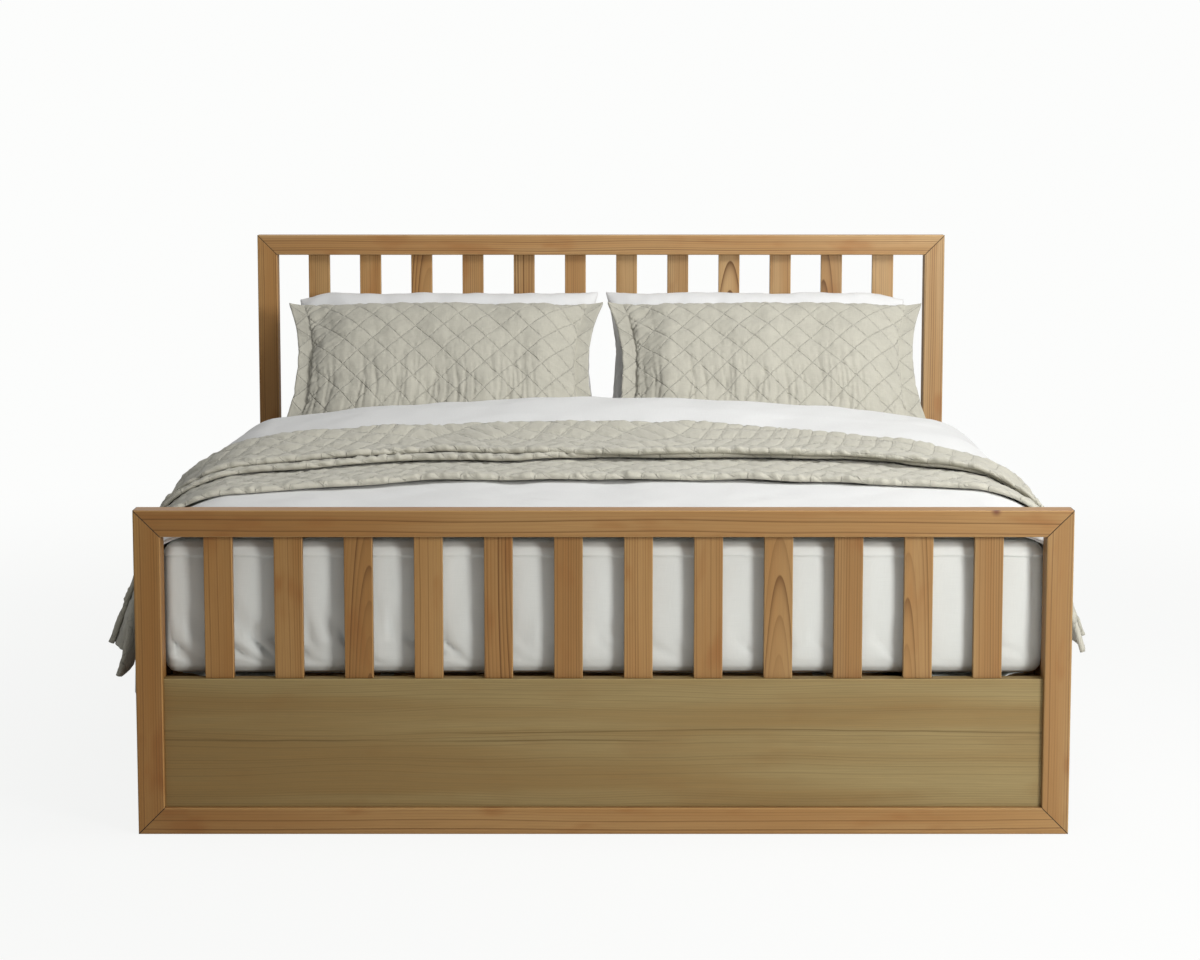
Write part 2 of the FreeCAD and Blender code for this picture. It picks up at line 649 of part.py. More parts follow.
def throw_section(side, station):
    """The throw's outline along the bed at one station; side is -1 on the left, 1 on the right."""
    hung = smooth(station, THROW_FLAT / 2, THROW_FLAT + THROW_TURN)
    front = THROW_CENTRE[0] + (THROW_SIDE[0] - THROW_CENTRE[0]) * hung
    back = THROW_CENTRE[1] + (THROW_SIDE[1] - THROW_CENTRE[1]) * hung
    low = smooth(station, THROW_FLAT, THROW_FLAT + THROW_TURN + THROW_DROP)
    pleat = THROW_PUCKER + (THROW_PLEAT - THROW_PUCKER) * low

    def at(share, height):
        distance = front + (back - front) * share
        x, z, out_x, out_z = throw_point(distance, station, side)
        reach = THROW_GAP + height
        return FreeCAD.Vector(side * (x + out_x * reach), FOOT_FRONT + distance, z + out_z * reach)

    def wave(shares, height):
        """Folds between the given shares of the width, deep and shallow by turns."""
        path = []
        for first, last in zip(shares, shares[1:]):
            rank = round(min(first, last) * THROW_FOLDS)
            bow = pleat if (rank + side) % 4 < 2 else pleat / 4
            if rank < THROW_STEP:
                bow *= THROW_UNDER_PLEAT
            third = (last - first) / 3
            path += [at(first + third, height + bow), at(last - third, height + bow), at(last, height)]
        return path

    shares = [index / THROW_FOLDS for index in range(THROW_FOLDS + 1)]
    step = shares[THROW_STEP]
    edge = THROW_LAYER / THROW_WIDTH
    outline = [at(share, 0) for share in shares]
    outline += [at(1 + edge / 2, THROW_LAYER / 2), at(1 + edge / 2, THROW_LAYER * 1.5)]
    outline.append(at(1, THROW_LAYER * 2))
    outline += wave(shares[:THROW_STEP - 1:-1], THROW_LAYER * 2)
    outline += [at(step - edge / 4, THROW_LAYER * 1.6), at(step, THROW_LAYER)]
    outline += wave(shares[THROW_STEP::-1], THROW_LAYER)
    outline.append(at(-edge / 3, THROW_LAYER / 2))
    return closed(outline)


def throw():
    """A quilt folded into a band of two steps, laid across the bed with pleated ends."""
    last = THROW_FLAT + THROW_TURN + THROW_DROP
    sections = [throw_section(-1, station) for station in range(last, 0, -1)]
    sections += [throw_section(1, station) for station in range(last + 1)]
    return Part.makeLoft(sections, True, True)


def cushion(width, height, crown):
    """A pillow standing on its lower edge: crowned, with pointed corners and drawn-in sides."""
    facets = [math.pi * step / CUSHION_FACETS for step in range(CUSHION_FACETS + 1)]
    full, thinning = CUSHION_PLUMP
    sections = []
    for index in range(CUSHION_STATIONS):
        share = math.sin(math.pi * (index / (CUSHION_STATIONS - 1) - 0.5))
        half = CUSHION_SEAM + (crown - CUSHION_SEAM) * (1 - share ** full) ** thinning
        reach = height / 2 - SEAM_DRAW * (1 - abs(share) ** 3)
        x = share * width / 2
        rise = []
        for turn in facets:
            rise.append((height / 2 - reach * math.cos(turn), half * math.sin(turn) ** CUSHION_PINCH))
        front = [FreeCAD.Vector(x, -depth, z) for z, depth in rise]
        back = [FreeCAD.Vector(x, depth, z) for z, depth in rise[1:-1]]
        sections.append(closed(front + back[::-1]))
    body = Part.makeLoft(sections, True, True)
    radius = ((height / 2) ** 2 + SIDE_DRAW ** 2) / (2 * SIDE_DRAW)
    for side in (-1, 1):
        centre = FreeCAD.Vector(side * (width / 2 + radius - SIDE_DRAW), -crown * 2, height / 2)
        body = body.cut(Part.makeCylinder(radius, crown * 4, centre, FreeCAD.Vector(0, 1, 0)))
    return body


def leaning(shape, lean, foot, offset):
    """Tip a standing cushion back and set its lower edge on the bed."""
    shape.rotate(FreeCAD.Vector(0, 0, 0), FreeCAD.Vector(1, 0, 0), -lean)
    shape.translate(FreeCAD.Vector(offset, FOOT_FRONT + foot[0], foot[1]))
    return shape


# ---- Assembly ----

def add_ends(nodes):
    """Headboard and footboard."""
    fronts = {"footboard": (FOOT_HEIGHT, FOOT_FRONT), "headboard": (HEAD_HEIGHT, RAIL_LENGTH / 2)}
    for board, (height, front) in fronts.items():
        for name, shape in end_frame(height, front).items():
            nodes[board + "_" + name] = shape


def add_rails(nodes):
    """Side rails, ledgers and the fittings that join the rails to the posts."""
    hooks = four_corners(rail_hook_plate())
    slots = four_corners(post_slot_plate())
    screws = four_corners(plate_screws())
    rooms = four_corners(hook_space(HOOK_REACH + SLOT_PLAY))
    base_screws = slat_screws() + ledger_screws()
    rail = side_rail().cut(Part.makeCompound([hooks[0], screws[0]]))
    rail = rail.cut(mirrored_y(Part.makeCompound([hooks[0], screws[0]])))
    rail = rail.cut(Part.makeCompound(base_screws))
    strip = ledger().cut(Part.makeCompound(base_screws))
    nodes["side_rail_right"] = rail
    nodes["side_rail_left"] = mirrored_x(rail)
    nodes["ledger_right"] = strip
    nodes["ledger_left"] = mirrored_x(strip)
    all_screws = Part.makeCompound(screws)
    for board in ("footboard", "headboard"):
        for side in ("left", "right"):
            name = board + "_post_" + side
            nodes[name] = nodes[name].cut(Part.makeCompound(slots + rooms)).cut(all_screws)
    nodes["rail_hook_plates"] = Part.makeCompound(hooks).cut(all_screws)
    nodes["post_slot_plates"] = Part.makeCompound(slots).cut(all_screws)
    hanger_sets = hanger_screws(FOOT_HANGER, 1) + hanger_screws(HEAD_HANGER, -1)
    nodes["fitting_screws"] = Part.makeCompound(screws + hanger_sets)
    both_sides = base_screws + [mirrored_x(item) for item in base_screws]
    nodes["base_screws"] = Part.makeCompound(both_sides)


def add_base(nodes):
    """Slats, centre beam, its hangers, legs and levelling feet."""
    drilled = Part.makeCompound(hanger_screws(FOOT_HANGER, 1) + hanger_screws(HEAD_HANGER, -1))
    hangers = Part.makeCompound([beam_hanger(FOOT_HANGER, 1), beam_hanger(HEAD_HANGER, -1)])
    legs = centre_legs()
    nodes["bed_slats"] = slats().cut(nodes["base_screws"])
    nodes["slat_tapes"] = slat_tapes()
    nodes["beam_hangers"] = hangers.cut(drilled)
    for board in ("footboard", "headboard"):
        nodes[board + "_panel"] = nodes[board + "_panel"].cut(drilled)
    nodes["centre_beam"] = centre_beam(legs)
    nodes["centre_leg_front"] = legs[0]
    nodes["centre_leg_rear"] = legs[1]
    nodes["leg_inserts"] = leg_inserts()
    nodes["levelling_foot_front"] = levelling_foot(-LEG_SPACING / 2)
    nodes["levelling_foot_rear"] = levelling_foot(LEG_SPACING / 2)


def add_bedding(nodes):
    """Mattress, coverlet, throw, pillows and shams."""
    nodes["mattress"] = mattress()
    nodes["coverlet"] = coverlet()
    nodes["throw"] = throw()
    for side, sign in (("left", -1), ("right", 1)):
        pillow = cushion(PILLOW_WIDTH, PILLOW_HEIGHT, PILLOW_CROWN)
        sham = cushion(SHAM_WIDTH, SHAM_HEIGHT, SHAM_CROWN)
        nodes["pillow_" + side] = leaning(pillow, PILLOW_LEAN, PILLOW_FOOT, sign * PILLOW_OFFSET)
        nodes["sham_" + side] = leaning(sham, SHAM_LEAN, SHAM_FOOT, sign * SHAM_OFFSET)


def main():
    nodes = {}
    add_ends(nodes)
    add_rails(nodes)
    add_base(nodes)
    add_bedding(nodes)
    os.makedirs("parts", exist_ok=True)
    for name, shape in nodes.items():
        shape.exportStep("parts/%s.step" % name)
    print(len(nodes), "sub-parts written")


main()
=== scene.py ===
import math

import bpy
import numpy as np
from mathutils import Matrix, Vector
from bpy.props import FloatProperty, FloatVectorProperty, IntProperty, PointerProperty


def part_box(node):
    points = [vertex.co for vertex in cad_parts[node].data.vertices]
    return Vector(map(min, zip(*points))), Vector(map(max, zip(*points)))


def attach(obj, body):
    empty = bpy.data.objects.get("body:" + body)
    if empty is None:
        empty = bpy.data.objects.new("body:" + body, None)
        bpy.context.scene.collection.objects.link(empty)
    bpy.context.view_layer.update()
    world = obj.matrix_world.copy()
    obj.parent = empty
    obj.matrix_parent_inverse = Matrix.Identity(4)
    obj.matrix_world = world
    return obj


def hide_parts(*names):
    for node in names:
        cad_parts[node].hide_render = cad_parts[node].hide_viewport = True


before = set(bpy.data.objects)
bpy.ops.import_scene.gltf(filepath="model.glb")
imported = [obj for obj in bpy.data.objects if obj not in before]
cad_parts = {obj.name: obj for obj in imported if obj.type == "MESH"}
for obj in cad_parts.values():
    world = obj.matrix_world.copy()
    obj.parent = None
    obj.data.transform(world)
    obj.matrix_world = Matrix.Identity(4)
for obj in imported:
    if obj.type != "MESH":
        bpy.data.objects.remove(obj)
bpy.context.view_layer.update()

bl_info = {
    "name": "Spindle bed",
    "version": (1, 0, 0),
    "blender": (4, 5, 0),
    "location": "View3D > Sidebar > Bed",
    "description": "Wood, bedding and light for the packed spindle bed",
    "category": "Object",
}

END_BOARDS = ("footboard", "headboard")
SIDES = (("left", -1), ("right", 1))

# All sizes are in metres. A distance runs back from the footboard's front, and a share from 0 in the
# middle of the bed to -1 at the left hem and 1 at the right one.
FOOT_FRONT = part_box("footboard_top_rail")[0].y
HALF_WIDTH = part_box("footboard_top_rail")[1].x
GROOVE = 0.008
MEMBER = HALF_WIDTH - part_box("footboard_panel")[1].x + GROOVE
SPINDLES = 12

# The mattress: half its width and length, its corners' radius, and the spacing of its points
MATTRESS_HALF = (0.965, 1.015)
MATTRESS_CORNER = 0.030
MATTRESS_STEP = 0.011

# The coverlet's middle: its ends, its height at the foot, its rises, and its swell before the shams
COVER_ENDS = (0.058, 2.050)
COVER_FOOT = 0.656
FOOT_RISE, MIDDLE_RISE = 0.012, 0.022
COVER_SWELL = 0.107
SWELL_RISES = (0.95, 1.40)
SWELL_FALLS = (1.41, 1.53)

# The coverlet's sides: where the top turns down, as a share and a width, and how the sides hang
CREST_SHARE, TURN_SHARE = 0.59, 0.76
COVER_CREST = 0.870
EDGE_DROP = 0.024
SHOULDER_START = 0.925
SHOULDER_END = 0.575
SHOULDER_LEAD = 0.16
SHOULDER_POWER = 1.12
COVER_SIDE = 1.017
SIDE_FOLDS = 7
SIDE_LEAN = 0.010
COVER_HEM = 0.285

# The throw: its front fold and back edge in the middle and at its ends, and its layers
THROW_MIDDLE = (0.650, 1.130)
THROW_LEFT = (0.430, 0.960)
THROW_RIGHT = (0.530, 0.840)
THROW_STEP = 0.44
THROW_WIDTH = 0.48
THROW_LAYER = 0.0058
THROW_BULGE = 0.0045
THROW_GAPE = 0.0055

# Cushions: size and half thickness, lean in degrees, foot's distance and height, left and right one's
# offset from the middle, and how far the sides are drawn in, the outer corner sinks and the ends thin
PILLOW = {"size": (0.885, 0.478), "crown": 0.066, "lean": 38.0, "foot": (1.762, 0.661),
          "offset": (0.446, 0.452), "drawn": 0.010, "slump": 0.030, "tapered": 0.40}
SHAM = {"size": (0.912, 0.474), "crown": 0.058, "lean": 42.0, "foot": (1.561, 0.661),
        "offset": (0.446, 0.470), "drawn": 0.058, "slump": 0.004, "tapered": 0.72}

# The shams' borders, the spacing of the cushions' points, how much larger than the cushions their
# covers are cut, and the height of the bed below them
FLANGE = 0.040
PILLOW_STEP, SHAM_STEP = 0.0125, 0.0092
COVER_SPARE = 1.055
BED_TOP = 0.6585

# Lamps: place, target and size
KEY_LAMP = ((2.4, -3.7, 1.7), (0.0, -0.7, 0.5), 0.9)
TOP_LAMP = ((1.1, -1.0, 4.6), (0.0, 0.4, 0.6), 3.0)
HEAD_LAMP = ((1.7, -0.9, 2.9), (0.3, 1.0, 1.0), 1.0)
WORLD_STRENGTH = 0.21
BACKDROP = (0.975, 0.98, 0.972, 1)
FLOOR_COLOUR = (0.82, 0.82, 0.81, 1)

# The camera: its place, its tilt down in radians, its focal length in millimetres and its shift
CAMERA_PLACE = (-0.020, FOOT_FRONT - 5.378, 1.585)
CAMERA_TILT = 0.1103
CAMERA_LENS = 75.82
CAMERA_SHIFT = (0.0048, -0.08)


# ---- Small helpers ----

def smooth(value, low, high):
    """0 below low, 1 above high, and an even curve between."""
    share = np.clip((value - low) / (high - low), 0.0, 1.0)
    return share * share * (3 - 2 * share)


def ripples(x, y, length, seed, octaves=3, stretch=(1.0, 1.0)):
    """Soft uneven waves about zero, mostly within -1 and 1, the same for the same seed."""
    draw = np.random.default_rng(seed)
    total = 0.0
    for octave in range(octaves):
        reach = length / 1.9 ** octave
        for _ in range(6):
            turn = draw.uniform(0, math.pi)
            phase = draw.uniform(0, 2 * math.pi)
            size = draw.uniform(0.7, 1.4) * reach
            run = x * math.cos(turn) / stretch[0] + y * math.sin(turn) / stretch[1]
            total = total + 0.32 * 0.55 ** octave * np.cos(2 * math.pi * run / size + phase)
    return total


def creases(x, y, length, seed, stretch=(1.0, 1.0)):
    """Narrow soft ridges, 0 to 1, as in cloth that has been folded or pulled."""
    wave = ripples(x, y, length, seed, 2, stretch)
    return np.clip(1 - np.abs(wave) * 2.2, 0, 1) ** 2


def mesh_object(name, points, faces, cloth=None, flat=False):
    """A smooth mesh object; cloth gives each vertex its place on the flat cloth, in metres."""
    mesh = bpy.data.meshes.new(name)
    mesh.from_pydata([tuple(point) for point in points], [], faces)
    mesh.update()
    if cloth is not None:
        layer = mesh.uv_layers.new(name="cloth")
        corners = np.zeros(len(mesh.loops), np.int32)
        mesh.loops.foreach_get("vertex_index", corners)
        layer.data.foreach_set("uv", np.asarray(cloth, np.float32)[corners].ravel())
    if not flat:
        mesh.polygons.foreach_set("use_smooth", [True] * len(mesh.polygons))
    made = bpy.data.objects.new(name, mesh)
    bpy.context.scene.collection.objects.link(made)
    return made


def slab(name, outer, inner, cloth):
    """A closed sheet between two grids of points of one shape, with its edges joined."""
    rows, columns = outer.shape[:2]
    count = rows * columns
    index = np.arange(count).reshape(rows, columns)
    a, b, c, d = index[:-1, :-1], index[:-1, 1:], index[1:, 1:], index[1:, :-1]
    top = np.stack([a, b, c, d], -1).reshape(-1, 4)
    under = top[:, ::-1] + count
    rim = np.concatenate([index[0, :], index[1:, -1], index[-1, -2::-1], index[-2:0:-1, 0]])
    after = np.roll(rim, -1)
    edge = np.stack([rim, rim + count, after + count, after], -1)
    faces = np.concatenate([top, under, edge]).tolist()
    points = np.concatenate([outer.reshape(-1, 3), inner.reshape(-1, 3)])
    places = np.concatenate([cloth.reshape(-1, 2)] * 2)
    return mesh_object(name, points, faces, places)


def outward(points):
    """Unit normals of a grid of points."""
    along = np.gradient(points, axis=0)
    across = np.gradient(points, axis=1)
    normals = np.cross(along, across)
    return normals / np.maximum(np.linalg.norm(normals, axis=2, keepdims=True), 1e-12)


def run_lengths(points, axis):
    """Distance along a grid's rows or columns from their first point."""
    steps = np.linalg.norm(np.diff(points, axis=axis), axis=2)
    start = np.zeros_like(np.take(steps, [0], axis=axis))
    return np.concatenate([start, np.cumsum(steps, axis=axis)], axis=axis)


def settle(piece, body, slot, material, *nodes):
    """Give a piece its material, the body that it moves with, and the nodes it stands for."""
    piece.data.materials.clear()
    piece.data.materials.append(material)
    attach(piece, body)
    if nodes:
        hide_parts(*nodes)
    return piece


# ---- Node helpers ----

def group_of(name, inputs, outputs):
    """A new shader node group: its inputs are numbers, or None for a vector, and its outputs numbers."""
    tree = bpy.data.node_groups.new(name, "ShaderNodeTree")
    for label, value in inputs.items():
        kind = "NodeSocketVector" if value is None else "NodeSocketFloat"
        socket = tree.interface.new_socket(name=label, in_out="INPUT", socket_type=kind)
        if value is not None:
            socket.default_value = value
    for label in outputs:
        tree.interface.new_socket(name=label, in_out="OUTPUT", socket_type="NodeSocketFloat")
    tree.nodes.new("NodeGroupInput")
    tree.nodes.new("NodeGroupOutput")
    return tree


class Net:
    """Adds nodes to a tree and joins them, so that a pattern reads as a formula."""

    def __init__(self, tree):
        self.tree = tree
        self.start = next((n for n in tree.nodes if n.type == "GROUP_INPUT"), None)
        self.end = next((n for n in tree.nodes if n.type == "GROUP_OUTPUT"), None)

    def put(self, socket, value):
        if isinstance(value, bpy.types.NodeSocket):
            self.tree.links.new(value, socket)
        elif value is not None:
            socket.default_value = value

    def get(self, label):
        return self.start.outputs[label]

    def give(self, label, value):
        self.put(self.end.inputs[label], value)

    def math(self, operation, a, b=None, c=None, clamp=False):
        node = self.tree.nodes.new("ShaderNodeMath")
        node.operation = operation
        node.use_clamp = clamp
        for socket, value in zip(node.inputs, (a, b, c)):
            self.put(socket, value)
        return node.outputs[0]

    def times(self, a, b):
        return self.math("MULTIPLY", a, b)

    def plus(self, a, b):
        return self.math("ADD", a, b)

    def minus(self, a, b):
        return self.math("SUBTRACT", a, b)

    def step(self, value, low, high, to_low=0.0, to_high=1.0):
        node = self.tree.nodes.new("ShaderNodeMapRange")
        node.interpolation_type = "SMOOTHSTEP"
        for label, entry in (("Value", value), ("From Min", low), ("From Max", high),
                             ("To Min", to_low), ("To Max", to_high)):
            self.put(node.inputs[label], entry)
        return node.outputs["Result"]

    def vector(self, x, y, z):
        node = self.tree.nodes.new("ShaderNodeCombineXYZ")
        for socket, value in zip(node.inputs, (x, y, z)):
            self.put(socket, value)
        return node.outputs[0]

    def split(self, vector):
        node = self.tree.nodes.new("ShaderNodeSeparateXYZ")
        self.put(node.inputs[0], vector)
        return node.outputs

    def noise(self, vector, scale=1.0, detail=2.0, roughness=0.5):
        node = self.tree.nodes.new("ShaderNodeTexNoise")
        self.put(node.inputs["Vector"], vector)
        node.inputs["Scale"].default_value = scale
        node.inputs["Detail"].default_value = detail
        node.inputs["Roughness"].default_value = roughness
        return node.outputs["Fac"]

    def mix(self, share, first, second, blend="MIX"):
        node = self.tree.nodes.new("ShaderNodeMix")
        node.data_type = "RGBA"
        node.blend_type = blend
        self.put(node.inputs[0], share)
        self.put(node.inputs[6], first)
        self.put(node.inputs[7], second)
        return node.outputs[2]

    def group(self, tree, **values):
        node = self.tree.nodes.new("ShaderNodeGroup")
        node.node_tree = tree
        for label, value in values.items():
            self.put(node.inputs[label.replace("_", " ")], value)
        return node.outputs

    def bump(self, height, distance, strength=1.0, normal=None):
        node = self.tree.nodes.new("ShaderNodeBump")
        node.inputs["Strength"].default_value = strength
        node.inputs["Distance"].default_value = distance
        self.put(node.inputs["Height"], height)
        self.put(node.inputs["Normal"], normal)
        return node.outputs[0]

    def bevel(self, radius):
        node = self.tree.nodes.new("ShaderNodeBevel")
        node.samples = 4
        node.inputs["Radius"].default_value = radius
        return node.outputs[0]

    def coordinates(self, label):
        if label == "cloth":
            node = self.tree.nodes.new("ShaderNodeUVMap")
            node.uv_map = "cloth"
            return node.outputs[0]
        node = self.tree.nodes.new("ShaderNodeTexCoord")
        return node.outputs[label]


def rgb(colour):
    """A colour with full alpha."""
    return (*colour, 1.0)


def tinted(colour, *shares):
    """A colour times one share, or times one each for red, green and blue, with full alpha."""
    shares = shares * 3 if len(shares) == 1 else shares
    return rgb([part * share for part, share in zip(colour, shares)])


def new_material(name, roughness, sheen=0.0, metallic=0.0, specular=0.5):
    """A material whose shader takes its even values on its own sockets."""
    material = bpy.data.materials.new(name)
    material.use_nodes = True
    shader = material.node_tree.nodes["Principled BSDF"]
    shader.inputs["Roughness"].default_value = roughness
    shader.inputs["Metallic"].default_value = metallic
    shader.inputs["Specular IOR Level"].default_value = specular
    shader.inputs["Sheen Weight"].default_value = sheen
    shader.inputs["Sheen Roughness"].default_value = 0.5
    return material, shader, Net(material.node_tree)


# ---- Wood ----

def wood_grain_group():
    """Growth rings cut by a board: latewood lines, fine fibre, and slow changes of tone."""
    tree = group_of(
        "Pine grain",
        {"Along": 0.0, "Across": 0.0, "Depth": 0.0, "Seed": 0.0, "Ring Pitch": 0.005, "Pith Across": 0.2,
         "Pith Depth": 0.05, "Tilt": 0.01, "Waver": 0.004},
        ("Latewood", "Fibre", "Tone", "Blotch"))
    net = Net(tree)
    along, across, depth, seed = (net.get(n) for n in ("Along", "Across", "Depth", "Seed"))

    def stretched(lengthwise, crosswise, shift):
        """A place on the board, with so many noise cells to the metre along and across the grain."""
        return net.vector(net.times(along, lengthwise), net.times(across, crosswise),
                          net.plus(net.times(depth, crosswise), shift))

    drift = net.times(net.minus(net.noise(stretched(1.7, 6.0, seed), 1.0, 1.0), 0.5), net.get("Waver"))
    drift = net.times(drift, 4.0)
    side = net.plus(across, net.get("Pith Across"))
    into = net.plus(depth, net.get("Pith Depth"))
    into = net.plus(into, net.times(along, net.get("Tilt")))
    reach = net.math("SQRT", net.plus(net.times(side, side), net.times(into, into)))
    count = net.math("DIVIDE", net.plus(reach, drift), net.get("Ring Pitch"))
    ring = net.math("FRACT", count)
    year = tree.nodes.new("ShaderNodeTexWhiteNoise")
    year.noise_dimensions = "1D"
    net.put(year.inputs["W"], net.plus(net.math("FLOOR", count), seed))
    strength = net.math("POWER", net.step(year.outputs["Value"], 0.0, 1.0, 0.35, 1.0), 2.0)
    line = net.times(net.math("POWER", ring, 3.2), net.step(ring, 0.93, 1.0, 1.0, 0.0))
    net.give("Latewood", net.times(line, strength))
    net.give("Fibre", net.noise(stretched(9.0, 620.0, seed), 1.0, 3.0, 0.6))
    net.give("Tone", net.noise(stretched(0.9, 14.0, seed), 1.0, 2.0))
    patches = net.noise(stretched(6.5, 17.0, net.times(seed, 1.7)), 1.0, 2.0)
    net.give("Blotch", net.step(patches, 0.52, 0.78))
    return tree


def mitre_group():
    """1 on the thin line where a post and a rail meet at 45 degrees, 0 elsewhere."""
    tree = group_of("Mitre line", {"Point": None, "Half Width": 1.0, "Height": 1.0, "Line": 0.0007},
                    ("Mask",))
    net = Net(tree)
    x, _, z = net.split(net.get("Point"))
    inset = net.minus(net.get("Half Width"), net.math("ABSOLUTE", x))
    top = net.math("ABSOLUTE", net.minus(inset, net.minus(net.get("Height"), z)))
    low = net.math("ABSOLUTE", net.minus(inset, z))
    corner = net.math("LESS_THAN", inset, MEMBER)
    line = net.step(net.math("MINIMUM", top, low), 0.0, net.get("Line"), 1.6, 0.0)
    net.give("Mask", net.times(corner, line))
    return tree


def knot_group():
    """A small round knot: 1 in its middle, fading to 0 at its radius."""
    tree = group_of("Knot", {"Point": None, "Place": None, "Radius": 0.005}, ("Mask",))
    net = Net(tree)
    away = tree.nodes.new("ShaderNodeVectorMath")
    away.operation = "DISTANCE"
    net.put(away.inputs[0], net.get("Point"))
    net.put(away.inputs[1], net.get("Place"))
    net.give("Mask", net.step(away.outputs["Value"], 0.0, net.get("Radius"), 1.0, 0.0))
    return tree


# For grain that runs on each axis: which of x, y and z runs along, across and into the board
AXES = {"x": (0, 2, 1), "z": (2, 0, 1), "y": (1, 0, 2)}
# Width of the painted highlight on a board's long edges
EDGE_HIGHLIGHT_REACH = 0.0028
MITRE_LINE = 0.0021
KNOT_COLOUR = (0.12, 0.035, 0.02)
GAP_COLOUR = (0.03, 0.017, 0.008)


def streaked(net, parts, late, streaks):
    """Latewood with strong wavering lines added along a wide board, at each (height, reach)."""
    for height, reach in streaks:
        sway = net.noise(net.vector(net.times(parts[0], 1.6), 0.0, height * 90), 1.0, 3.0)
        away = net.plus(parts[2], net.times(sway, -0.030))
        away = net.math("ABSOLUTE", net.minus(away, height - 0.015))
        cloud = net.noise(net.vector(parts[0], 5.0, height * 50), 1.9, 1.0)
        fade = net.step(cloud, 0.36, 0.60, 0.12, 0.85)
        late = net.math("MAXIMUM", late, net.times(fade, net.step(away, 0.0, reach, 1.0, 0.0)))
    return late


def painted_edge_highlight(net, parts, along, box):
    """Mask of a painted highlight: three quarters on the long edges of a board that fills the box, 0
    elsewhere.
    """
    near = [net.math("MINIMUM", net.minus(parts[index], box[0][index]),
                     net.minus(box[1][index], parts[index]))
            for index in AXES[along][1:]]
    return net.step(net.math("MAXIMUM", *near), 0.0, EDGE_HIGHLIGHT_REACH, 0.75, 0.0)


def wood_material(name, groups, along, light, dark, seed=0.0, pitch=0.0045, pith=(0.35, 0.06),
                  tilt=0.004, waver=0.004, contrast=0.5, roughness=0.46, blotch=0.75, streaks=(),
                  paler=0.0, box=None, height=None, knot=None):
    """One board's wood, with its grain along the axis given.

    Streaks are (height, reach) of strong lines, and a long board gets painted light, growing paler towards
    the right by the share given. The long edges of box get a painted highlight. Height is the top of a frame
    whose mitres show, and knot is a knot's (place, radius).
    """
    material, shader, net = new_material(name, roughness, specular=0.25)
    point = net.coordinates("Object")
    parts = net.split(point)
    run, side, into = (parts[index] for index in AXES[along])
    grain = net.group(groups["grain"], Along=run, Across=side, Depth=into, Seed=seed, Ring_Pitch=pitch,
                      Pith_Across=pith[0], Pith_Depth=pith[1], Tilt=tilt, Waver=waver)
    tone = net.mix(net.step(grain["Tone"], 0.32, 0.66), tinted(light, 1.10), tinted(light, 0.93, 0.80, 0.66))
    tone = net.mix(net.times(grain["Blotch"], blotch), tone, tinted(light, 0.80, 0.55, 0.38))
    late = streaked(net, parts, net.math("MULTIPLY", grain["Latewood"], contrast, clamp=True), streaks)
    colour = net.mix(late, tone, rgb(dark))
    colour = net.mix(net.step(grain["Fibre"], 0.25, 0.75, 0.0, 0.36), colour, tinted(light, 0.62))
    # Painted light: a long board grows paler towards the right, where the key lamp is nearer
    if paler:
        share = net.math("MULTIPLY_ADD", parts[0], 0.5 / HALF_WIDTH, 0.5, clamp=True)
        ends = [rgb([1 + way * paler * part for part in (0.5, 0.9, 1.5)]) for way in (-1, 1)]
        colour = net.mix(1.0, colour, net.mix(share, *ends), "MULTIPLY")
    if box is not None:
        # Painted highlight: the long edges are made paler, as if their arrises caught the light
        colour = net.mix(painted_edge_highlight(net, parts, along, box), colour, tinted(light, 1.55, 1.65, 1.8))
    if knot is not None:
        mask = net.group(groups["knot"], Point=point, Place=knot[0], Radius=knot[1])["Mask"]
        colour = net.mix(net.times(mask, 0.9), colour, rgb(KNOT_COLOUR))
    if height is not None:
        mask = net.group(groups["mitre"], Point=point, Half_Width=HALF_WIDTH, Height=height,
                         Line=MITRE_LINE)["Mask"]
        colour = net.mix(net.math("MULTIPLY", mask, 0.9, clamp=True), colour, rgb(GAP_COLOUR))
    net.put(shader.inputs["Base Color"], colour)
    net.put(shader.inputs["Roughness"], net.step(grain["Latewood"], 0.0, 1.0, roughness, roughness - 0.1))
    relief = net.plus(net.times(grain["Fibre"], 0.6), grain["Latewood"])
    net.put(shader.inputs["Normal"], net.bump(relief, 0.00012, 0.5, net.bevel(0.003)))
    return material


# ---- Cloth materials ----

def weave_group():
    """A plain weave: over and under threads, each a little uneven."""
    tree = group_of("Plain weave", {"Place": None, "Thread": 0.0008}, ("Height", "Slub"))
    net = Net(tree)
    u, v, _ = net.split(net.get("Place"))
    a, b = (net.math("SINE", net.times(net.math("DIVIDE", way, net.get("Thread")), math.pi))
            for way in (u, v))
    net.give("Height", net.math("MULTIPLY_ADD", net.times(a, b), 0.5, 0.5))
    warp = net.noise(net.vector(net.times(u, 900.0), net.times(v, 25.0), 0.0), 1.0, 2.0)
    weft = net.noise(net.vector(net.times(u, 25.0), net.times(v, 900.0), 7.0), 1.0, 2.0)
    net.give("Slub", net.times(net.plus(warp, weft), 0.5))
    return tree


def quilt_group():
    """Diamond quilting: how near a point is to a stitched line, and where each stitch lies."""
    tree = group_of("Diamond quilting", {"Place": None, "Wide": 0.088, "Tall": 0.088, "Stitch": 0.004},
                    ("Line", "Pucker", "Thread"))
    net = Net(tree)
    u, v, _ = net.split(net.get("Place"))
    across = net.math("DIVIDE", u, net.get("Wide"))
    up = net.math("DIVIDE", v, net.get("Tall"))
    first = net.math("PINGPONG", net.plus(across, up), 0.5)
    second = net.math("PINGPONG", net.minus(across, up), 0.5)
    near = net.math("MINIMUM", first, second)
    net.give("Line", net.step(near, 0.0, 0.035, 1.0, 0.0))
    net.give("Pucker", net.step(near, 0.0, 0.25, 1.0, 0.0))
    beat = net.math("PINGPONG", net.math("DIVIDE", u, net.get("Stitch")), 0.5)
    net.give("Thread", net.times(net.step(near, 0.0, 0.012, 1.0, 0.0), net.step(beat, 0.14, 0.22)))
    return tree


